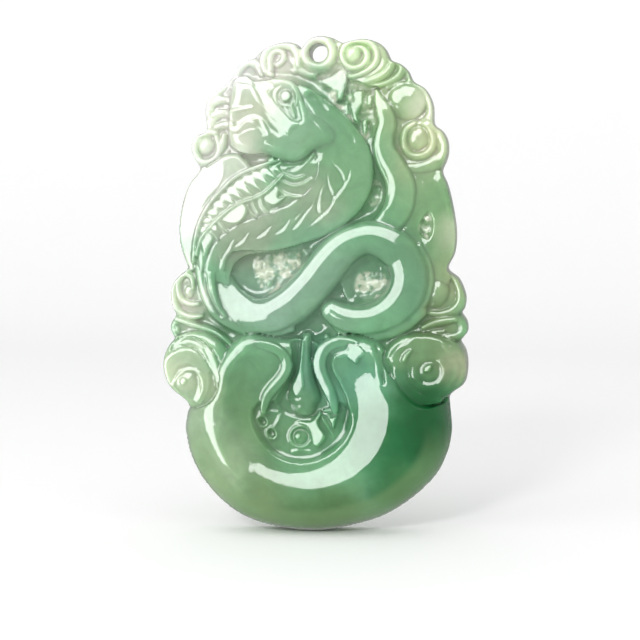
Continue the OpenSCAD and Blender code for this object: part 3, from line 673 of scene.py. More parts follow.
    # the rise from the outer border up to the left shoulder
    # left volute: a snail of one and a half turns under a collar
    s.roll(np.c_[[(176, 313), (190, 318), (203, 322), (215, 326), (226, 333), (236, 342)], [3, 3.4, 3.4, 3.4, 3.2, 2.2]], Z + 4, 10, CLOUD_L)
    s.pad([(176, 333), (190, 327), (205, 325.5), (219, 332), (230, 342), (234, 353), (229, 368), (225, 381), (215, 380), (212, 352), (200, 340), (186, 338)],
          46, 12, 9, VOL_L, mode="top", pw=0.6)
    w, sdv = s.sdf(curve([(167, 346), (174, 336), (186, 331.5), (198, 333), (209, 339), (217, 349), (222, 362), (223, 376),
                          (219, 389), (211, 398), (199, 403), (189, 401), (183, 394), (175, 388), (168, 379), (164.5, 368), (164, 356)], 4, True))
    t = np.clip(1 - sdv / 9.0, 0, 1)
    s.over(w, 43 + 12 * np.sqrt(1 - t * t), sdv > 0, VOL_L)
    s.roll([(188, 400, 3, .8), (179, 391, 6, 1), (172, 380, 8, 1), (171, 367, 9, 1), (176, 356, 9, 1), (186, 350.5, 9, 1), (197, 352, 8.5, 1),
            (205, 360, 8, 1), (208, 371, 7, 1), (207, 383, 6, 1), (202, 394, 5, .9)], 51, 6, VOL_L, pw="flat", smooth=True)
    s.dome(188.5, 376, 12, 11, 0, 53, 6.5, VOL_L, pw=0.6)
    s.blade([(202, 394, .5), (206, 385, .9), (206.5, 376, 1), (203, 368, 1), (196, 364, 1), (189, 364.5, 1), (182.5, 368, 1), (178.5, 374, .9), (176, 380, .8),
             (173, 381, .7), (169, 377, .5)], 2.4, 2.2, 3.2)
    s.facet([(183.5, 373), (187, 371.5), (190, 373.5), (189.5, 377.5), (186, 378.5), (183.5, 376)], 62, 0.35, 0.3, 1.2, VOL_L, n=2)
    s.ridge(np.c_[[(213, 368), (215, 377), (212, 389)], [2.2, 2.6, 2.4]], -1.4)
    # the rim climbs round the snail to meet the collar
    s.roll([(176, 343, 3, .5), (182, 338, 4.5, .7), (190, 335.6, 5.5, .9), (199, 337.8, 6, 1), (206.5, 343, 6.2, 1.25), (213.5, 351, 6.2, 1.6), (218.5, 361, 5.6, 1.85),
            (221.5, 371, 4.6, 1.9), (222, 381, 3.4, 1.7)], 48, 5.2, VOL_L, pw="flat", mode="over", clip=s.reg != RUYI)
    s.sliver([(206, 342.5, 1.2), (199, 338, 2.2), (191, 335.8, 2.0), (182, 338, .6)], 0.42)
    s.sliver([(209.5, 345.5, 1.4), (214, 351.5, 2.8), (218, 360, 2.8), (220.5, 370, 1.8), (221.5, 379, .6)], 0.40)

    # right volute: round boss, ring and a broad turn
    w, sdv = s.sdf(curve([(384, 352), (388, 341), (396, 333), (407, 328), (420, 326), (434, 327), (446, 331), (456, 335), (464, 343), (467.5, 354),
                          (467.5, 366), (464, 376), (455, 384.5), (446, 391), (434, 396), (422, 394), (410, 386), (399, 376), (390, 365)], 4, True))
    t = np.clip(1 - sdv / 12.0, 0, 1)
    s.over(w, 44 + 14 * np.sqrt(1 - t * t), sdv > 0, VOL_R)
    s.roll([(440, 391, 4, .8), (423, 390, 8, 1), (410, 380, 10, 1), (404, 364, 11, 1), (407, 349, 11, 1), (418, 339, 10, 1), (433, 338, 9, 1), (446, 345, 8, 1),
            (452, 357, 7, 1), (451, 370, 6, 1), (444, 381, 4.5, .9)], 54, 4, VOL_R, pw="low")
    s.dome(430, 364, 16.5, 16.5, 0, 55, 3.4, VOL_R, pw=0.6)
    s.ridge(arc(430, 364, 14.5, 14.5, -50, 200, 2.2, 2.2), 0.9, smooth=False)
    s.ridge(arc(430, 363, 10, 10, 0, 360, 2.4, 2.4), -1.0, smooth=False)
    s.facet([(424.5, 361), (427.5, 357), (432, 356.5), (433, 360), (430, 363.5), (426, 364)], 63, 0.34, 0.3, 1.4, VOL_R, n=2)
    s.blade([(441, 354, .6), (445, 361, 1), (444.5, 369, 1), (440, 377, .6)], 1.4, 3.2, 2)
    s.ridge(arc(430, 363, 20, 23, -40, 230, 2.4, 3.0, 40), -0.8, smooth=False)
    s.blade([(418, 329, .5), (406, 331, .9), (397, 336.5, 1), (391, 343.5, 1), (387.5, 352, .7)], 2.2, 3.0, 3.8)
    s.blade([(437, 328, .7), (443, 334.5, 1), (449, 345, .7)], 1.3, 2.6, 3)
    s.facet([(403, 352), (407, 345), (413, 342.5), (410, 348), (406, 355)], 62, 0.25, 0.2, 2.0, VOL_R)
    s.ridge(np.c_[[(455, 347), (461, 356), (460, 368), (454, 378)], [3] * 4], -1.6)
    # the turn runs off into the cushion
    # fold between the right volute and the finger's shoulder
    s.ridge(np.c_[[(378, 338), (383, 350), (385, 362), (386, 374)], [2, 2.4, 2.4, 1.8]], -3.6)
    s.ridge(np.c_[[(374, 342), (379, 354), (381, 366), (383, 376)], [1.5] * 4], 1.6)
    s.dome(379, 342, 4, 4, 0, 52, 6, RUYI)
    s.dome(329, 331, 3.6, 3.6, 0, 50, 7, RUYI)

    # ---------------- fingers, drop, medallion ----------------
    # hollow inside the left finger
    w, sdi = s.sdf(curve([(250, 348), (262, 343), (276, 345), (284, 352), (286, 361), (281, 370), (271, 380), (263, 391), (258, 403), (246, 398), (243, 380), (244, 362)], 4, True))
    s.h[w] -= 0.8 * ss(-3, 8, sdi)
    # channel between the fingers where the drop lies
    w, sdc = s.sdf(curve([(296, 333), (316, 333), (319, 344), (318, 358), (322, 372), (330, 388), (335, 402), (324, 411), (303, 414), (286, 409),
                          (279, 399), (283, 388), (291, 376), (296, 362), (297, 346)], 4, True))
    s.h[w] = np.where(sdc > -1, np.minimum(s.h[w], 53 - 5 * ss(-1, 4, sdc)), s.h[w])
    # medallion floor
    med = curve([(258, 404), (268, 397), (282, 399), (303, 411), (322, 407), (336, 398), (347, 400), (351, 410), (347, 425), (337, 438), (322, 448),
                 (305, 452), (290, 450), (277, 443), (267, 432), (260, 419)], 4, True)
    w, sdm = s.sdf(med, pad=6)
    s.h[w] = np.where(sdm > -4, np.minimum(s.h[w], 57 - 7 * ss(-4, 1.5, sdm)), s.h[w])
    rr = s.reg[w]
    rr[sdm > 0] = MEDAL
    s.reg[w] = rr
    # rim line round the medallion
    s.ridge(np.c_[[(257, 408), (261, 422), (269, 434), (279, 443), (292, 450.5), (306, 451.5), (322, 447.5), (337, 437), (347, 424), (351, 409)],
                  [1.8] * 10], 1.0)
    # boss in a ring, and the ribbon that runs from it up to the right
    s.ridge(arc(303, 430, 10.5, 10.5, 0, 360, 1.8, 1.8), 3.0, smooth=False)
    s.dome(303, 430.5, 7.4, 7.4, 0, 49, 6.0, MEDAL, pw=0.6)
    s.facet([(297, 429), (300, 426), (303.5, 426.5), (303.5, 430), (300, 432.5), (298, 431)], 57, 0.35, 0.3, 1.2, MEDAL, n=2)
    s.facet([(297.5, 417), (302, 414.5), (308, 415), (313, 414.5), (317, 411.5), (320, 407), (322.5, 403.5), (324, 407.5), (321, 413), (322, 419), (325.5, 424),
             (328.5, 428.5), (325, 435), (320, 439), (315.5, 437), (314.5, 430), (312, 422.5), (307, 418)], 57.5, 0.30, 0.16, 1.4, MEDAL, n=2)
    s.blade([(323, 408, .8), (327, 415, 1), (332, 423, 1), (336, 430, .8)], 3.4, 2.2, 2.2)
    s.facet([(330, 409.5), (335, 410.5), (340, 408), (338, 414), (336, 421.5), (333, 415)], 57, 0.3, 0.2, 1.2, MEDAL, n=2)
    s.blade([(322, 405.5, .8), (331, 408, 1), (342, 404.5, .8)], 2.8, 2.0, 2.0)
    s.dome(333, 403.5, 8, 2.6, -3, 52, 2.5, MEDAL)
    for (cx, cy) in ((265, 415), (274, 427)):
        w, dd, u_, s_ = s.near([(cx - 0.5, cy - 1), (cx + 0.5, cy + 1)], 9)
        s.h[w] += 2.4 * np.exp(-((dd - 4.6) / 1.5) ** 2) - 4.0 * ss(3.6, 1.4, dd)
    s.ridge(np.c_[[(262, 407), (271, 405.5), (280, 406)], [1.6] * 3], 2.2)
    s.blade([(283, 408, .8), (281, 414, 1), (277, 420, .8)], 2.4, 2.4, 2)
    s.ridge(np.c_[[(296, 445), (304, 444), (312, 445)], [1.8] * 3], 2.0)
    # left finger: a flat band, turned over at both edges
    s.roll([(241, 346, 3, .9), (249, 340, 4.4, 1), (259, 338, 5, 1), (270, 338.8, 5.4, 1), (281, 343, 5.6, 1), (288.5, 350.5, 5.6, 1), (290.5, 360, 5.6, 1),
            (286, 370, 5.6, 1), (278.5, 379, 5.6, 1), (271.5, 388, 5.4, .95), (268, 398, 4.2, .85), (267, 405, 3, .7)], 59, 6.5, FING, pw="flat")
    s.sliver([(284, 346, .6), (288.5, 353, 1.2), (288.5, 361, 1.4), (284.5, 368.5, 1.4), (278, 376, 1.2), (271.5, 383.5, 1.0), (267, 390.5, 1.0), (264.5, 398, .9), (264, 404, .5)], 0.4)
    # right finger: its edge band with an inner line
    s.roll([(367, 346, 3, .8), (360, 338, 5, .95), (349, 335, 6, 1), (337, 336, 6.6, 1), (327.5, 342, 7, 1), (323, 352, 7, 1), (323.5, 363, 6.8, 1), (328, 374, 6.4, 1),
            (333, 385, 6, 1), (336.5, 395, 5, .9), (338, 404, 3, .7)], 59, 8, FING, pw="flat")
    s.sliver([(340, 332.5, .8), (332, 334.5, 2.0), (325.5, 340.5, 2.6), (321.4, 350, 2.8), (321.2, 360, 2.8), (325, 371, 2.8), (330, 381, 2.8), (334, 391, 2.4), (336.5, 400, .8)], 0.45)
    s.ridge(np.c_[[(352, 337.5), (349, 342), (342, 344.5), (335.5, 348.5), (332.5, 355), (333, 363), (337.5, 371), (343, 381), (347.5, 391), (349.5, 402), (347, 416)],
                  [1.8] * 11], -2.4)
    s.ridge(np.c_[[(338, 350), (336, 357), (337.5, 364), (342.5, 373), (348, 384), (352, 395), (353, 406), (350, 420)], [1.7] * 8], 1.6)
    s.facet([(351.5, 336), (359, 337), (365.5, 341.5), (367.5, 346.5), (362, 350.5), (359.5, 356), (355, 353), (349.5, 348.5), (352, 343.5)], 69, 0.24, 0.16, 1.8, RUYI, cut=True, n=2)
    s.facet([(342, 350), (345, 347.5), (348, 348), (346, 350.5)], 64, 0.3, 0.2, 1.0, RUYI, n=2)
    # drop
    s.roll([(309, 331, 4.5, .75), (308.5, 342, 4.8, .82), (308.5, 354, 5.6, .88), (308, 366, 8, .95), (307, 376, 12, 1), (306.5, 386, 15.5, 1.05),
            (307, 393, 16, 1.05), (307, 398, 12, .95)], 47, 13.5, DROP, pw=0.62, n=6, mode="top")
    s.facet([(305, 334), (306.5, 334), (306.5, 346), (305.5, 358), (306.5, 368), (307.5, 378), (304.5, 385), (300, 389.5), (296.5, 385.5), (295, 379), (298.5, 371),
             (302, 361), (303.5, 347)], 61.5, 0.30, 0.05, 2.0, DROP, n=2)

    # ---------------- finish ----------------
    # the bank behind the tail is rubbed smooth
    sm = blur(s.h, 5.0 / step)
    k = ss(390, 400, X) * ss(446, 434, X) * ss(112, 124, Y) * ss(262, 250, Y) * np.isin(s.reg, (BANK, CLOUD_R, GROUND))
    k = k * ss(16, 24, np.hypot(X - 417, Y - 136)) * ss(10, 18, np.hypot(X - 427, Y - 220))
    s.h += (sm - s.h) * blur(k, 2.0 / step) * 0.85
    # no cut goes deep below its neighbours
    floor_ = blur(s.h, 6.0 / step) - 5.0
    gap = floor_ - s.h
    s.h = np.where((s.reg == RUYI) | (s.d < 8), s.h, s.h + 0.5 * (gap + np.sqrt(gap * gap + 6.0)) * ss(-8, 0, gap))
    # chiselled texture in the sunk ground
    n = np.zeros_like(s.h)
    for k, a in ((5.2, 1.0), (2.8, 0.6)):
        gy, gx = int(len(s.y) * step / k) + 3, int(len(s.x) * step / k) + 3
        g = rng.standard_normal((gy, gx))
        yy, xx = (s.y - s.y[0]) / k, (s.x - s.x[0]) / k
        i, j = yy.astype(int), xx.astype(int)
        fy, fx = (yy - i)[:, None], (xx - j)[None]
        fy, fx = fy * fy * (3 - 2 * fy), fx * fx * (3 - 2 * fx)
        n += a * ((g[i][:, j] * (1 - fx) + g[i][:, j + 1] * fx) * (1 - fy) + (g[i + 1][:, j] * (1 - fx) + g[i + 1][:, j + 1] * fx) * fy)
    deep = ss(49, 45, s.h)
    s.rough *= deep
    s.h += s.rough * n * 1.2
    # the edge of the whole stone is rounded over
    R = 7.0
    t = np.clip(1 - s.d / R, 0, 1)
    cap = 26 + 34 * np.sqrt(np.clip(1 - t ** 2, 0, 1))
    cap = np.where(s.d < R, cap, 1e3)
    s.h = np.where(s.reg == RUYI, s.h, np.minimum(s.h, np.maximum(cap, 26)))
    # light polish
    s.h = blur(s.h, 0.55 / step)
    return s



# ---------------------------------------------------------------- the skin
HOLE_R = 9.17           # the cord hole, in squares: 1.1 mm
BACK_R = 8.0            # rounding of the back edge
WALL = 26.0             # height of the side wall's top


def stone_field(s, v):
    """The solid as a field over (height, row, column): positive inside."""
    X, Y, d = s.X, s.Y, s.d
    top = np.where(d > 0, s.h, 26 + 3.0 * d)
    t = np.clip(1 - d / BACK_R, 0, 1)
    back = BACK_R * (1 - np.sqrt(1 - t * t)) * 0.8
    back = np.where(d > 0, back, BACK_R * 0.8 - 3.0 * d)
    # no crown is added to the back
    back = back + 0.0
    e = np.arange(-2.0, s.h.max() + 4.0, v)
    hole = np.hypot(X - CX, Y - CY) - HOLE_R
    side = np.minimum(d, hole)
    f = np.minimum(top[None] - e[:, None, None], e[:, None, None] - back[None])
    f = np.minimum(f, side[None])
    return f.astype(np.float32), e


CORNERS = np.array([(a, b, c) for a in (0, 1) for b in (0, 1) for c in (0, 1)])


def surface_net(f, grids):
    """Vertices and quads of the zero surface of f, which is positive inside."""
    ins = f > 0
    n = np.zeros(tuple(k - 1 for k in f.shape), np.uint8)
    for a, b, c in CORNERS:
        n += ins[a:a + n.shape[0], b:b + n.shape[1], c:c + n.shape[2]]
    act = np.argwhere((n > 0) & (n < 8))
    ids = np.full(n.shape, -1, np.int32)
    ids[act[:, 0], act[:, 1], act[:, 2]] = np.arange(len(act))
    val = np.stack([f[act[:, 0] + a, act[:, 1] + b, act[:, 2] + c] for a, b, c in CORNERS], 1)
    tot = np.zeros((len(act), 3))
    cnt = np.zeros(len(act))
    for i in range(8):
        for j in range(i + 1, 8):
            if np.abs(CORNERS[i] - CORNERS[j]).sum() != 1:
                continue
            a, b = val[:, i], val[:, j]
            m = (a > 0) != (b > 0)
            t = np.where(m, a / np.where(m, a - b, 1), 0)
            p = CORNERS[i] + (CORNERS[j] - CORNERS[i]) * t[:, None]
            tot += p * m[:, None]
            cnt += m
    p = act + tot / cnt[:, None]
    e, y, x = grids
    pos = np.stack([(x[0] + p[:, 2] * (x[1] - x[0]) - CX) * SQ,
                    -(e[0] + p[:, 0] * (e[1] - e[0])) * SQ,
                    (CY - y[0] - p[:, 1] * (y[1] - y[0])) * SQ], 1)
    quads = []
    for ax in range(3):
        o = [0, 0, 0]
        o[ax] = 1
        lo = [slice(1, -1)] * 3
        lo[ax] = slice(0, -1)
        hi = [slice(1, -1)] * 3
        hi[ax] = slice(1, None)
        ch = np.argwhere(ins[tuple(lo)] != ins[tuple(hi)])
        off = np.array([1, 1, 1])
        off[ax] = 0
        ch = ch + off
        u, w = [k for k in range(3) if k != ax]
        du, dw = np.zeros(3, int), np.zeros(3, int)
        du[u], dw[w] = 1, 1
        q = [ids[tuple((ch - a * du - b * dw).T)] for a, b in ((0, 0), (1, 0), (1, 1), (0, 1))]
        q = np.stack(q, 1)
        flip = ins[ch[:, 0], ch[:, 1], ch[:, 2]]
        if ax == 1:
            flip = ~flip
        q[flip] = q[flip][:, ::-1]
        quads.append(q)
    q = np.vstack(quads)
    q = q[(q >= 0).all(1)]
    # make the faces look outwards
    a, b, c, d = (pos[q[:, k]] for k in range(4))
    vol = (np.einsum("ij,ij->i", a, np.cross(b, c)) + np.einsum("ij,ij->i", a, np.cross(c, d))).sum()
    if vol < 0:
        q = q[:, ::-1]
    return pos, q


def mesh_object(name, pos, q, attrs, mat):
    me = bpy.data.meshes.new(name)
    me.vertices.add(len(pos))
    me.vertices.foreach_set("co", pos.astype(np.float32).ravel())
    me.loops.add(len(q) * 4)
    me.loops.foreach_set("vertex_index", q.astype(np.int32).ravel())
    me.polygons.add(len(q))
    me.polygons.foreach_set("loop_start", np.arange(0, len(q) * 4, 4, dtype=np.int32))
    me.update(calc_edges=True)
    me.polygons.foreach_set("use_smooth", np.ones(len(q), bool))
    for k, v in attrs.items():
        at = me.attributes.new(k, "FLOAT", "POINT")
        at.data.foreach_set("value", v.astype(np.float32))
    me.validate()
    o = bpy.data.objects.new(name, me)
    bpy.context.collection.objects.link(o)
    me.materials.append(mat)
    return o


def sample(grid, s, pos):
    """Read a sheet-sized grid at the vertices."""
    x = pos[:, 0] / SQ + CX
    y = CY - pos[:, 2] / SQ
    j = np.clip((x - s.x[0]) / s.step, 0, len(s.x) - 1.001)
    i = np.clip((y - s.y[0]) / s.step, 0, len(s.y) - 1.001)
    i0, j0 = i.astype(int), j.astype(int)
    fi, fj = i - i0, j - j0
    return (grid[i0, j0] * (1 - fi) * (1 - fj) + grid[i0 + 1, j0] * fi * (1 - fj)
            + grid[i0, j0 + 1] * (1 - fi) * fj + grid[i0 + 1, j0 + 1] * fi * fj)


# ---------------------------------------------------------------- materials
TINT = np.array([0.97, 0.85, 0.89])


def lin(c):
    c = np.asarray(c, float) / 255.0
    k = np.clip((c.min() - 0.62) / 0.25, 0, 1)
    c = np.where(c <= 0.04045, c / 12.92, ((c + 0.055) / 1.055) ** 2.4) * (TINT + (0.93 - TINT) * k)
    return tuple(float(v) for v in c) + (1.0,)


# Soft clouds of colour in the stone: x, z in mm, reach in mm, colour. Partly the stone's own pale and deep zones,
# partly painted light: some clouds are painted lighter where shade falls in hollows and gaps, some painted darker where
# a highlight falls, and the deep greens at the lower right are painted shade of the side away from the light as well as
# the stone's deeper colour.
BASE = (112, 172, 128)
TONE_AND_LIGHT_SPOTS = [
    (-11, -1, 9, (238, 241, 234)), (-13, -9, 7, (226, 232, 216)), (-15, -17, 8, (208, 216, 202)), (-9.2, -12.7, 3.5, (224, 234, 218)), (-4, -1, 5, (226, 232, 214)),
    (-7, -7, 5, (180, 198, 170)), (-9, -10, 4, (190, 202, 182)), (9, -3, 8, (166, 196, 144)), (1, 0, 5, (226, 232, 212)), (5, 0, 4.5, (206, 230, 190)), (10, -5, 4, (150, 186, 142)), (13, -13, 7, (146, 180, 134)),
    (12, -10, 3, (192, 208, 166)), (13.5, -7, 3.5, (206, 220, 190)), (14.6, -11.4, 2.5, (172, 198, 156)),
    (15, -22, 8, (118, 162, 112)), (16.5, -28, 5, (146, 174, 128)), (16.6, -22, 3, (168, 194, 158)), (14.4, -32, 3, (124, 152, 110)), (-10, -32, 3.5, (112, 158, 122)),
    (-2, -10, 5, (134, 180, 144)), (4, -14, 7, (120, 170, 126)), (-9, -18, 6, (176, 200, 172)), (-1, -18, 5, (146, 176, 144)), (-7, -22, 5, (138, 164, 136)),
    (1, -27, 8, (126, 170, 140)), (-6, -29, 6, (132, 172, 148)), (9, -26, 6, (102, 152, 116)), (-16.2, -29, 5, (214, 224, 202)), (-17, -38, 6, (190, 210, 178)), (-13.5, -40, 3, (182, 206, 172)),
    (14, -36, 6, (112, 148, 102)), (17, -37, 3, (160, 178, 142)), (-8, -44, 9, (98, 142, 96)), (10, -46, 9, (8, 106, 52)), (13, -43, 6, (4, 90, 38)),
    (-2, -40, 6, (96, 148, 108)), (4, -39, 5, (96, 160, 126)), (-1, -35.5, 4, (98, 154, 124)), (-12.5, -50, 7, (150, 184, 144)), (-15.5, -44, 4.5, (158, 192, 156)), (-6, -54, 6, (112, 146, 100)),
    (1, -55, 6, (80, 122, 72)), (11, -53, 6, (52, 112, 58)),
]


def jade(name="jade"):
    m = bpy.data.materials.new(name)
    m.use_nodes = True
    nt = m.node_tree
    N, Lk = nt.nodes, nt.links
    b = N["Principled BSDF"]
    tc = N.new("ShaderNodeTexCoord")
    # slow drift, so that the colour zones have cloudy edges
    nz = N.new("ShaderNodeTexNoise")
    nz.inputs["Scale"].default_value = 140.0
    nz.inputs["Detail"].default_value = 3.0
    Lk.new(tc.outputs["Object"], nz.inputs["Vector"])
    sub = N.new("ShaderNodeVectorMath")
    sub.operation = "SUBTRACT"
    Lk.new(nz.outputs["Color"], sub.inputs[0])
    sub.inputs[1].default_value = (0.5, 0.5, 0.5)
    mul = N.new("ShaderNodeVectorMath")
    mul.operation = "SCALE"
    Lk.new(sub.outputs[0], mul.inputs[0])
    mul.inputs["Scale"].default_value = 0.009
    add = N.new("ShaderNodeVectorMath")
    add.operation = "ADD"
    Lk.new(tc.outputs["Object"], add.inputs[0])
    Lk.new(mul.outputs[0], add.inputs[1])
    flat = N.new("ShaderNodeVectorMath")
    flat.operation = "MULTIPLY"
    Lk.new(add.outputs[0], flat.inputs[0])
    flat.inputs[1].default_value = (1, 0, 1)
    col = None
    # each cloud mixes in the stone's own tone or painted light and shade
    for (x, z, r, c) in TONE_AND_LIGHT_SPOTS:
        d = N.new("ShaderNodeVectorMath")
        d.operation = "DISTANCE"
        Lk.new(flat.outputs[0], d.inputs[0])
        d.inputs[1].default_value = (x * 0.001, 0, z * 0.001)
        mr = N.new("ShaderNodeMapRange")
        mr.interpolation_type = "SMOOTHERSTEP"
        mr.inputs["From Min"].default_value = 0
        mr.inputs["From Max"].default_value = r * 0.001 * 1.35
        mr.inputs["To Min"].default_value = 0.92
        mr.inputs["To Max"].default_value = 0.0
        Lk.new(d.outputs["Value"], mr.inputs["Value"])
        mx = N.new("ShaderNodeMix")
        mx.data_type = "RGBA"
        Lk.new(mr.outputs[0], mx.inputs["Factor"])
        if col is None:
            mx.inputs["A"].default_value = lin(BASE)
        else:
            Lk.new(col, mx.inputs["A"])
        mx.inputs["B"].default_value = lin(c)
        col = mx.outputs["Result"]
    # fine mottling: paler cotton-like wisps and darker grains
    n2 = N.new("ShaderNodeTexNoise")
    n2.inputs["Scale"].default_value = 420.0
    n2.inputs["Detail"].default_value = 6.0
    n2.inputs["Roughness"].default_value = 0.62
    n2.inputs["Distortion"].default_value = 0.4
    Lk.new(tc.outputs["Object"], n2.inputs["Vector"])
    r2 = N.new("ShaderNodeMapRange")
    r2.inputs["From Min"].default_value = 0.35
    r2.inputs["From Max"].default_value = 0.7
    r2.inputs["To Min"].default_value = 0.90
    r2.inputs["To Max"].default_value = 1.10
    Lk.new(n2.outputs["Fac"], r2.inputs["Value"])
    v2 = N.new("ShaderNodeVectorMath")
    v2.operation = "SCALE"
    Lk.new(col, v2.inputs[0])
    Lk.new(r2.outputs[0], v2.inputs["Scale"])
    # sunk ground is paler and greyer, where the chisel bruised the stone
    at = N.new("ShaderNodeAttribute")
    at.attribute_name = "rough"
    mx = N.new("ShaderNodeMix")
    mx.data_type = "RGBA"
    sc = N.new("ShaderNodeMath")
    sc.operation = "MULTIPLY"
    Lk.new(at.outputs["Fac"], sc.inputs[0])
    nr = N.new("ShaderNodeTexNoise")
    nr.inputs["Scale"].default_value = 760.0
    nr.inputs["Detail"].default_value = 2.0
    Lk.new(tc.outputs["Object"], nr.inputs["Vector"])
    rr = N.new("ShaderNodeMapRange")
    rr.inputs["From Min"].default_value = 0.49
    rr.inputs["From Max"].default_value = 0.58
    rr.inputs["To Min"].default_value = 0.08
    rr.inputs["To Max"].default_value = 0.9
    Lk.new(nr.outputs["Fac"], rr.inputs["Value"])
    Lk.new(rr.outputs[0], sc.inputs[1])
    Lk.new(sc.outputs[0], mx.inputs["Factor"])
    Lk.new(v2.outputs[0], mx.inputs["A"])
    mx.inputs["B"].default_value = lin((204, 217, 194))
    # the thin border round the foot is mixed paler and more olive
    ar = N.new("ShaderNodeAttribute")
    ar.attribute_name = "border"
    me_ = N.new("ShaderNodeMix")
    me_.data_type = "RGBA"
    sb = N.new("ShaderNodeMath")
    sb.operation = "MULTIPLY"
    Lk.new(ar.outputs["Fac"], sb.inputs[0])
    sb.inputs[1].default_value = 0.36
    Lk.new(sb.outputs[0], me_.inputs["Factor"])
    Lk.new(mx.outputs["Result"], me_.inputs["A"])
    me_.inputs["B"].default_value = lin((124, 162, 108))
    mx = me_
    # painted light: crests and thin edges are painted paler as if lit through, and hollows are painted darker as
    # painted shade
    cv = N.new("ShaderNodeAttribute")
    cv.attribute_name = "painted_relief_light"
    pos = N.new("ShaderNodeMapRange")
    pos.inputs["From Min"].default_value = -1
    pos.inputs["From Max"].default_value = 1
    pos.inputs["To Min"].default_value = 1.0
    pos.inputs["To Max"].default_value = 1.12
    Lk.new(cv.outputs["Fac"], pos.inputs["Value"])
    v3 = N.new("ShaderNodeVectorMath")
    v3.operation = "SCALE"
    Lk.new(mx.outputs["Result"], v3.inputs[0])
    Lk.new(pos.outputs[0], v3.inputs["Scale"])
    Lk.new(v3.outputs[0], b.inputs["Base Color"])
    # polish: glassy on the relief, dull in the chiselled ground
    rg = N.new("ShaderNodeMapRange")
    rg.inputs["To Min"].default_value = 0.06
    rg.inputs["To Max"].default_value = 0.42
    Lk.new(at.outputs["Fac"], rg.inputs["Value"])
    Lk.new(rg.outputs[0], b.inputs["Roughness"])
    b.inputs["IOR"].default_value = 1.62
    b.inputs["Subsurface Weight"].default_value = 0.75
    b.inputs["Subsurface Radius"].default_value = (0.9, 1.15, 0.92)
    b.inputs["Subsurface Scale"].default_value = 0.0016
    b.inputs["Coat Weight"].default_value = 0.25
    b.inputs["Specular IOR Level"].default_value = 0.36
    b.inputs["Coat Roughness"].default_value = 0.04
    b.inputs["Coat IOR"].default_value = 1.6
    # the last trace of the polishing wheel
    n3 = N.new("ShaderNodeTexNoise")
    n3.inputs["Scale"].default_value = 900.0
    n3.inputs["Detail"].default_value = 2.0
    Lk.new(tc.outputs["Object"], n3.inputs["Vector"])
    bp = N.new("ShaderNodeBump")
    bp.inputs["Strength"].default_value = 0.05
    bp.inputs["Distance"].default_value = 0.0003
    Lk.new(n3.outputs["Fac"], bp.inputs["Height"])
    Lk.new(bp.outputs[0], b.inputs["Normal"])
    return m


# ---------------------------------------------------------------- build
STEP = 1.0
SPLIT = True
s = carve(STEP)
f, e = stone_field(s, 1.0)
# relief above or below its local mean, used to paint crests paler and hollows darker (painted light and shade)
low = blur(s.h, 7.0 / STEP)
painted_relief_light = np.clip((s.h - low) / 14.0, -1, 1)
mat = jade()
PIECES = [
    ("top_clouds", (CLOUD_T,), ("cloud_scrolls_top",)),
    ("left_clouds", (CLOUD_L,), ("cloud_scrolls_left",)),
    ("right_clouds", (CLOUD_R,), ("cloud_scrolls_right",)),
    ("cloud_bank", (BANK,), ("cloud_bank_right",)),
    ("snake_coil", (COIL,), ("snake_body",)),
    ("snake_neck", (NECK,), ("snake_throat",)),
    ("snake_tail_relief", (TAIL,), ("snake_tail",)),
    ("snake_head_relief", (HEAD,), ("snake_head",)),
    ("snake_eyeball", (EYE,), ("snake_eye",)),
    ("snake_hood_crescent", (HOOD,), ("snake_hood",)),
    ("snake_scutes", (SCUTE,), ("snake_belly_scutes",)),
    ("ruyi_cushion", (RUYI,), ("ruyi_body",)),
    ("left_volute", (VOL_L,), ("ruyi_left_volute",)),
    ("right_volute", (VOL_R,), ("ruyi_right_volute",)),
    ("finger_bands", (FING,), ("ruyi_left_finger", "ruyi_right_finger")),
    ("drop", (DROP,), ("ruyi_drop",)),
    ("medallion", (MEDAL,), ("ruyi_medallion",)),
]


def make_piece(name, f, grids, nodes):
    pos, q = surface_net(f, grids)
    if len(q) == 0:
        print("EMPTY", name)
        return
    front = np.clip((-pos[:, 1] / SQ - 12) / 14, 0, 1)
    border = ss(30, 21, sample(s.d, s, pos)) * ss(-0.043, -0.049, pos[:, 2])
    attrs = {"border": border, "rough": sample(s.rough, s, pos) * front, "painted_relief_light": sample(painted_relief_light, s, pos) * front}
    o = mesh_object(name, pos, q, attrs, mat)
    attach(o, "root")
    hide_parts(*nodes)
    print(name, "verts", len(pos), "faces", len(q), flush=True)
    return o


if SPLIT:
    # Each region of the carving is its own closed piece standing on the ground slab. Neighbours lap
    # by two squares, the lap dipping just under the neighbour's skin, so no gap shows between them.
    inside = s.d > -3
    E3 = e[:, None, None]
    kl = 0.3989 / 1.2

    def reach(ids):
        m = blur((np.isin(s.reg, ids) & inside).astype(float), 1.2 / STEP)
        return np.clip((m - 0.5) / kl, -3.2, 3.2)

    for name, ids, nodes in PIECES:
        r = reach(ids)
        ii, jj = np.where(r > -1.4)
        w = (slice(max(ii.min() - 5, 0), ii.max() + 6), slice(max(jj.min() - 5, 0), jj.max() + 6))
        k0 = int(np.searchsorted(e, SLAB - 4))
        top = s.h + 0.4 * np.minimum(r, 0)
        g = np.minimum(f[k0:, w[0], w[1]], top[w][None] - E3[k0:])
        g = np.minimum(g, (r[w] + 1.25)[None])
        g = np.minimum(g, E3[k0:] - (SLAB - 2))
        make_piece(name, g.astype(np.float32), (e[k0:], s.y[w[0]], s.x[w[1]]), nodes)
    r = reach((GROUND,))
    top = s.h + 0.4 * np.minimum(r, 0)
    g = np.minimum(f, np.maximum(SLAB - E3, np.minimum(top[None] - E3, (r + 1.25)[None])))
    make_piece("ground", g.astype(np.float32), (e, s.y, s.x), ("ground_slab",))
else:
    make_piece("jade_carving", f, (e, s.y, s.x), list(frame["nodes"]))

# ---------------------------------------------------------------- stage, light and camera
lo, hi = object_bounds()
floor_z = lo[2] - 0.00002


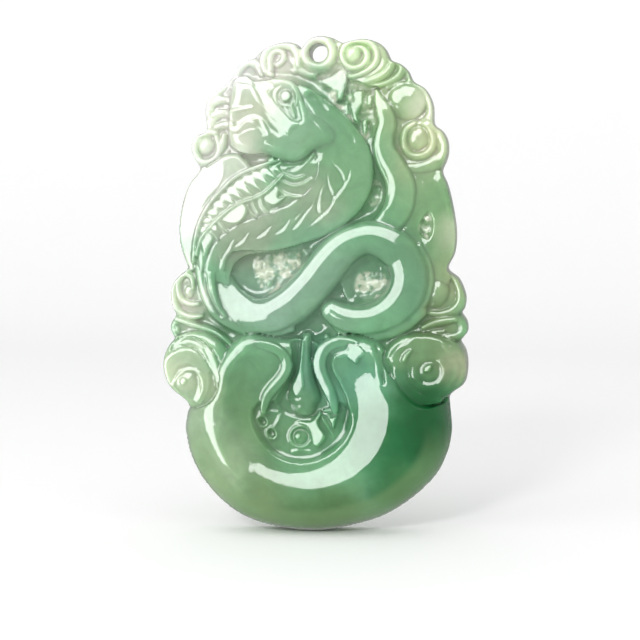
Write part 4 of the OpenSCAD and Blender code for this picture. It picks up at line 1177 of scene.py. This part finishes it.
def cyclorama():
    me = bpy.data.meshes.new("backdrop")
    prof = [(-0.9, 0.0), (0.25, 0.0)]
    for k in range(1, 13):
        a = math.pi / 2 * k / 12
        prof.append((0.25 + 0.2 * math.sin(a), 0.2 - 0.2 * math.cos(a)))
    prof.append((0.45, 1.2))
    vs, fs = [], []
    for (y, z) in prof:
        vs += [(-1.2, y, floor_z + z), (1.2, y, floor_z + z)]
    for i in range(len(prof) - 1):
        fs.append((2 * i, 2 * i + 1, 2 * i + 3, 2 * i + 2))
    me.from_pydata(vs, [], fs)
    me.polygons.foreach_set("use_smooth", [True] * len(fs))
    o = bpy.data.objects.new("backdrop", me)
    bpy.context.collection.objects.link(o)
    m = bpy.data.materials.new("backdrop")
    m.use_nodes = True
    b = m.node_tree.nodes["Principled BSDF"]
    b.inputs["Base Color"].default_value = (0.97, 0.97, 0.97, 1)
    b.inputs["Roughness"].default_value = 0.7
    me.materials.append(m)
    o.visible_glossy = False
    o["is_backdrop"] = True
    return o


cyclorama()
sc = bpy.context.scene
sc.view_settings.view_transform = "Standard"
sc.view_settings.look = "None"
world = bpy.data.worlds.new("studio")
sc.world = world
world.use_nodes = True
world.node_tree.nodes["Background"].inputs["Color"].default_value = (1, 1, 1, 1)
world.node_tree.nodes["Background"].inputs["Strength"].default_value = 0.86


C = np.array([0.0, -0.004, -0.03])


def area(name, tilt, turn, dist, w, h, power, kind=""):
    """A softbox at tilt degrees off the front axis, towards turn degrees (0 right, 90 up, 180 left);
    w runs round the axis and h towards it."""
    from mathutils import Matrix
    a, t = math.radians(tilt), math.radians(turn)
    z = np.array([math.sin(a) * math.cos(t), -math.cos(a), math.sin(a) * math.sin(t)])
    y = np.array([-math.cos(a) * math.cos(t), -math.sin(a), -math.cos(a) * math.sin(t)])
    x = np.cross(y, z)
    li = bpy.data.lights.new(name, "AREA")
    li.shape = "RECTANGLE"
    li.size, li.size_y = w, h
    li.energy = power
    o = bpy.data.objects.new(name, li)
    bpy.context.collection.objects.link(o)
    m = np.eye(4)
    m[:3, 0], m[:3, 1], m[:3, 2] = x, y, z
    m[:3, 3] = C + dist * z
    o.matrix_world = Matrix([list(map(float, r)) for r in m])
    if kind == "gloss":
        o.visible_diffuse = False
        o.visible_transmission = False
        o.visible_volume_scatter = False
    if kind == "diffuse":
        o.visible_glossy = False
    return o


# one broad curved softbox, seen only in the polish
def softbox(name, strength, t0, t1, a0, a1, dist, n=24, m=8):
    me = bpy.data.meshes.new(name)
    vs, fs = [], []
    for i in range(n + 1):
        for j in range(m + 1):
            a, t = math.radians(t0 + (t1 - t0) * j / m), math.radians(a0 + (a1 - a0) * i / n)
            vs.append(tuple(C + dist * np.array([math.sin(a) * math.cos(t), -math.cos(a), math.sin(a) * math.sin(t)])))
    for i in range(n):
        for j in range(m):
            q = i * (m + 1) + j
            fs.append((q, q + 1, q + m + 2, q + m + 1))
    me.from_pydata(vs, [], fs)
    o = bpy.data.objects.new(name, me)
    bpy.context.collection.objects.link(o)
    mt = bpy.data.materials.new(name)
    mt.use_nodes = True
    nt = mt.node_tree
    nt.nodes.clear()
    em = nt.nodes.new("ShaderNodeEmission")
    em.inputs["Strength"].default_value = strength
    out = nt.nodes.new("ShaderNodeOutputMaterial")
    nt.links.new(em.outputs[0], out.inputs["Surface"])
    me.materials.append(mt)
    o.visible_camera = False
    o.visible_diffuse = False
    o.visible_shadow = False
    o.visible_transmission = False
    o.visible_volume_scatter = False
    o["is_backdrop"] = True
    return o


softbox("softbox", 9.5, 26, 76, 58, 212, 0.5)
# the grey tent the polish mirrors everywhere else
softbox("tent", 0.38, 0, 179, 0, 360, 0.62, 36, 18)
area("key", 28, 116, 0.6, 0.10, 0.10, 1.1, "diffuse")
area("fill", 55, 120, 0.7, 0.4, 0.4, 0.25, "diffuse")

cam = bpy.data.cameras.new("camera")
cam.lens = 110
cam.sensor_width = 36
cam.clip_start, cam.clip_end = 0.01, 10
co = bpy.data.objects.new("camera", cam)
bpy.context.collection.objects.link(co)
AZ, EL = math.radians(5.0), math.radians(4.0)
aim = np.array([0.0, -0.003, (CY - 320) * SQ + 0.0005])
D = 640 * SQ / (2 * math.tan(math.atan(18 / cam.lens)))
back = np.array([math.sin(AZ) * math.cos(EL), -math.cos(AZ) * math.cos(EL), math.sin(EL)])
co.location = aim + back * D
from mathutils import Vector
co.rotation_mode = "QUATERNION"
co.rotation_quaternion = Vector(-back).to_track_quat("-Z", "Y")
sc.camera = co

lo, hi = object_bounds()
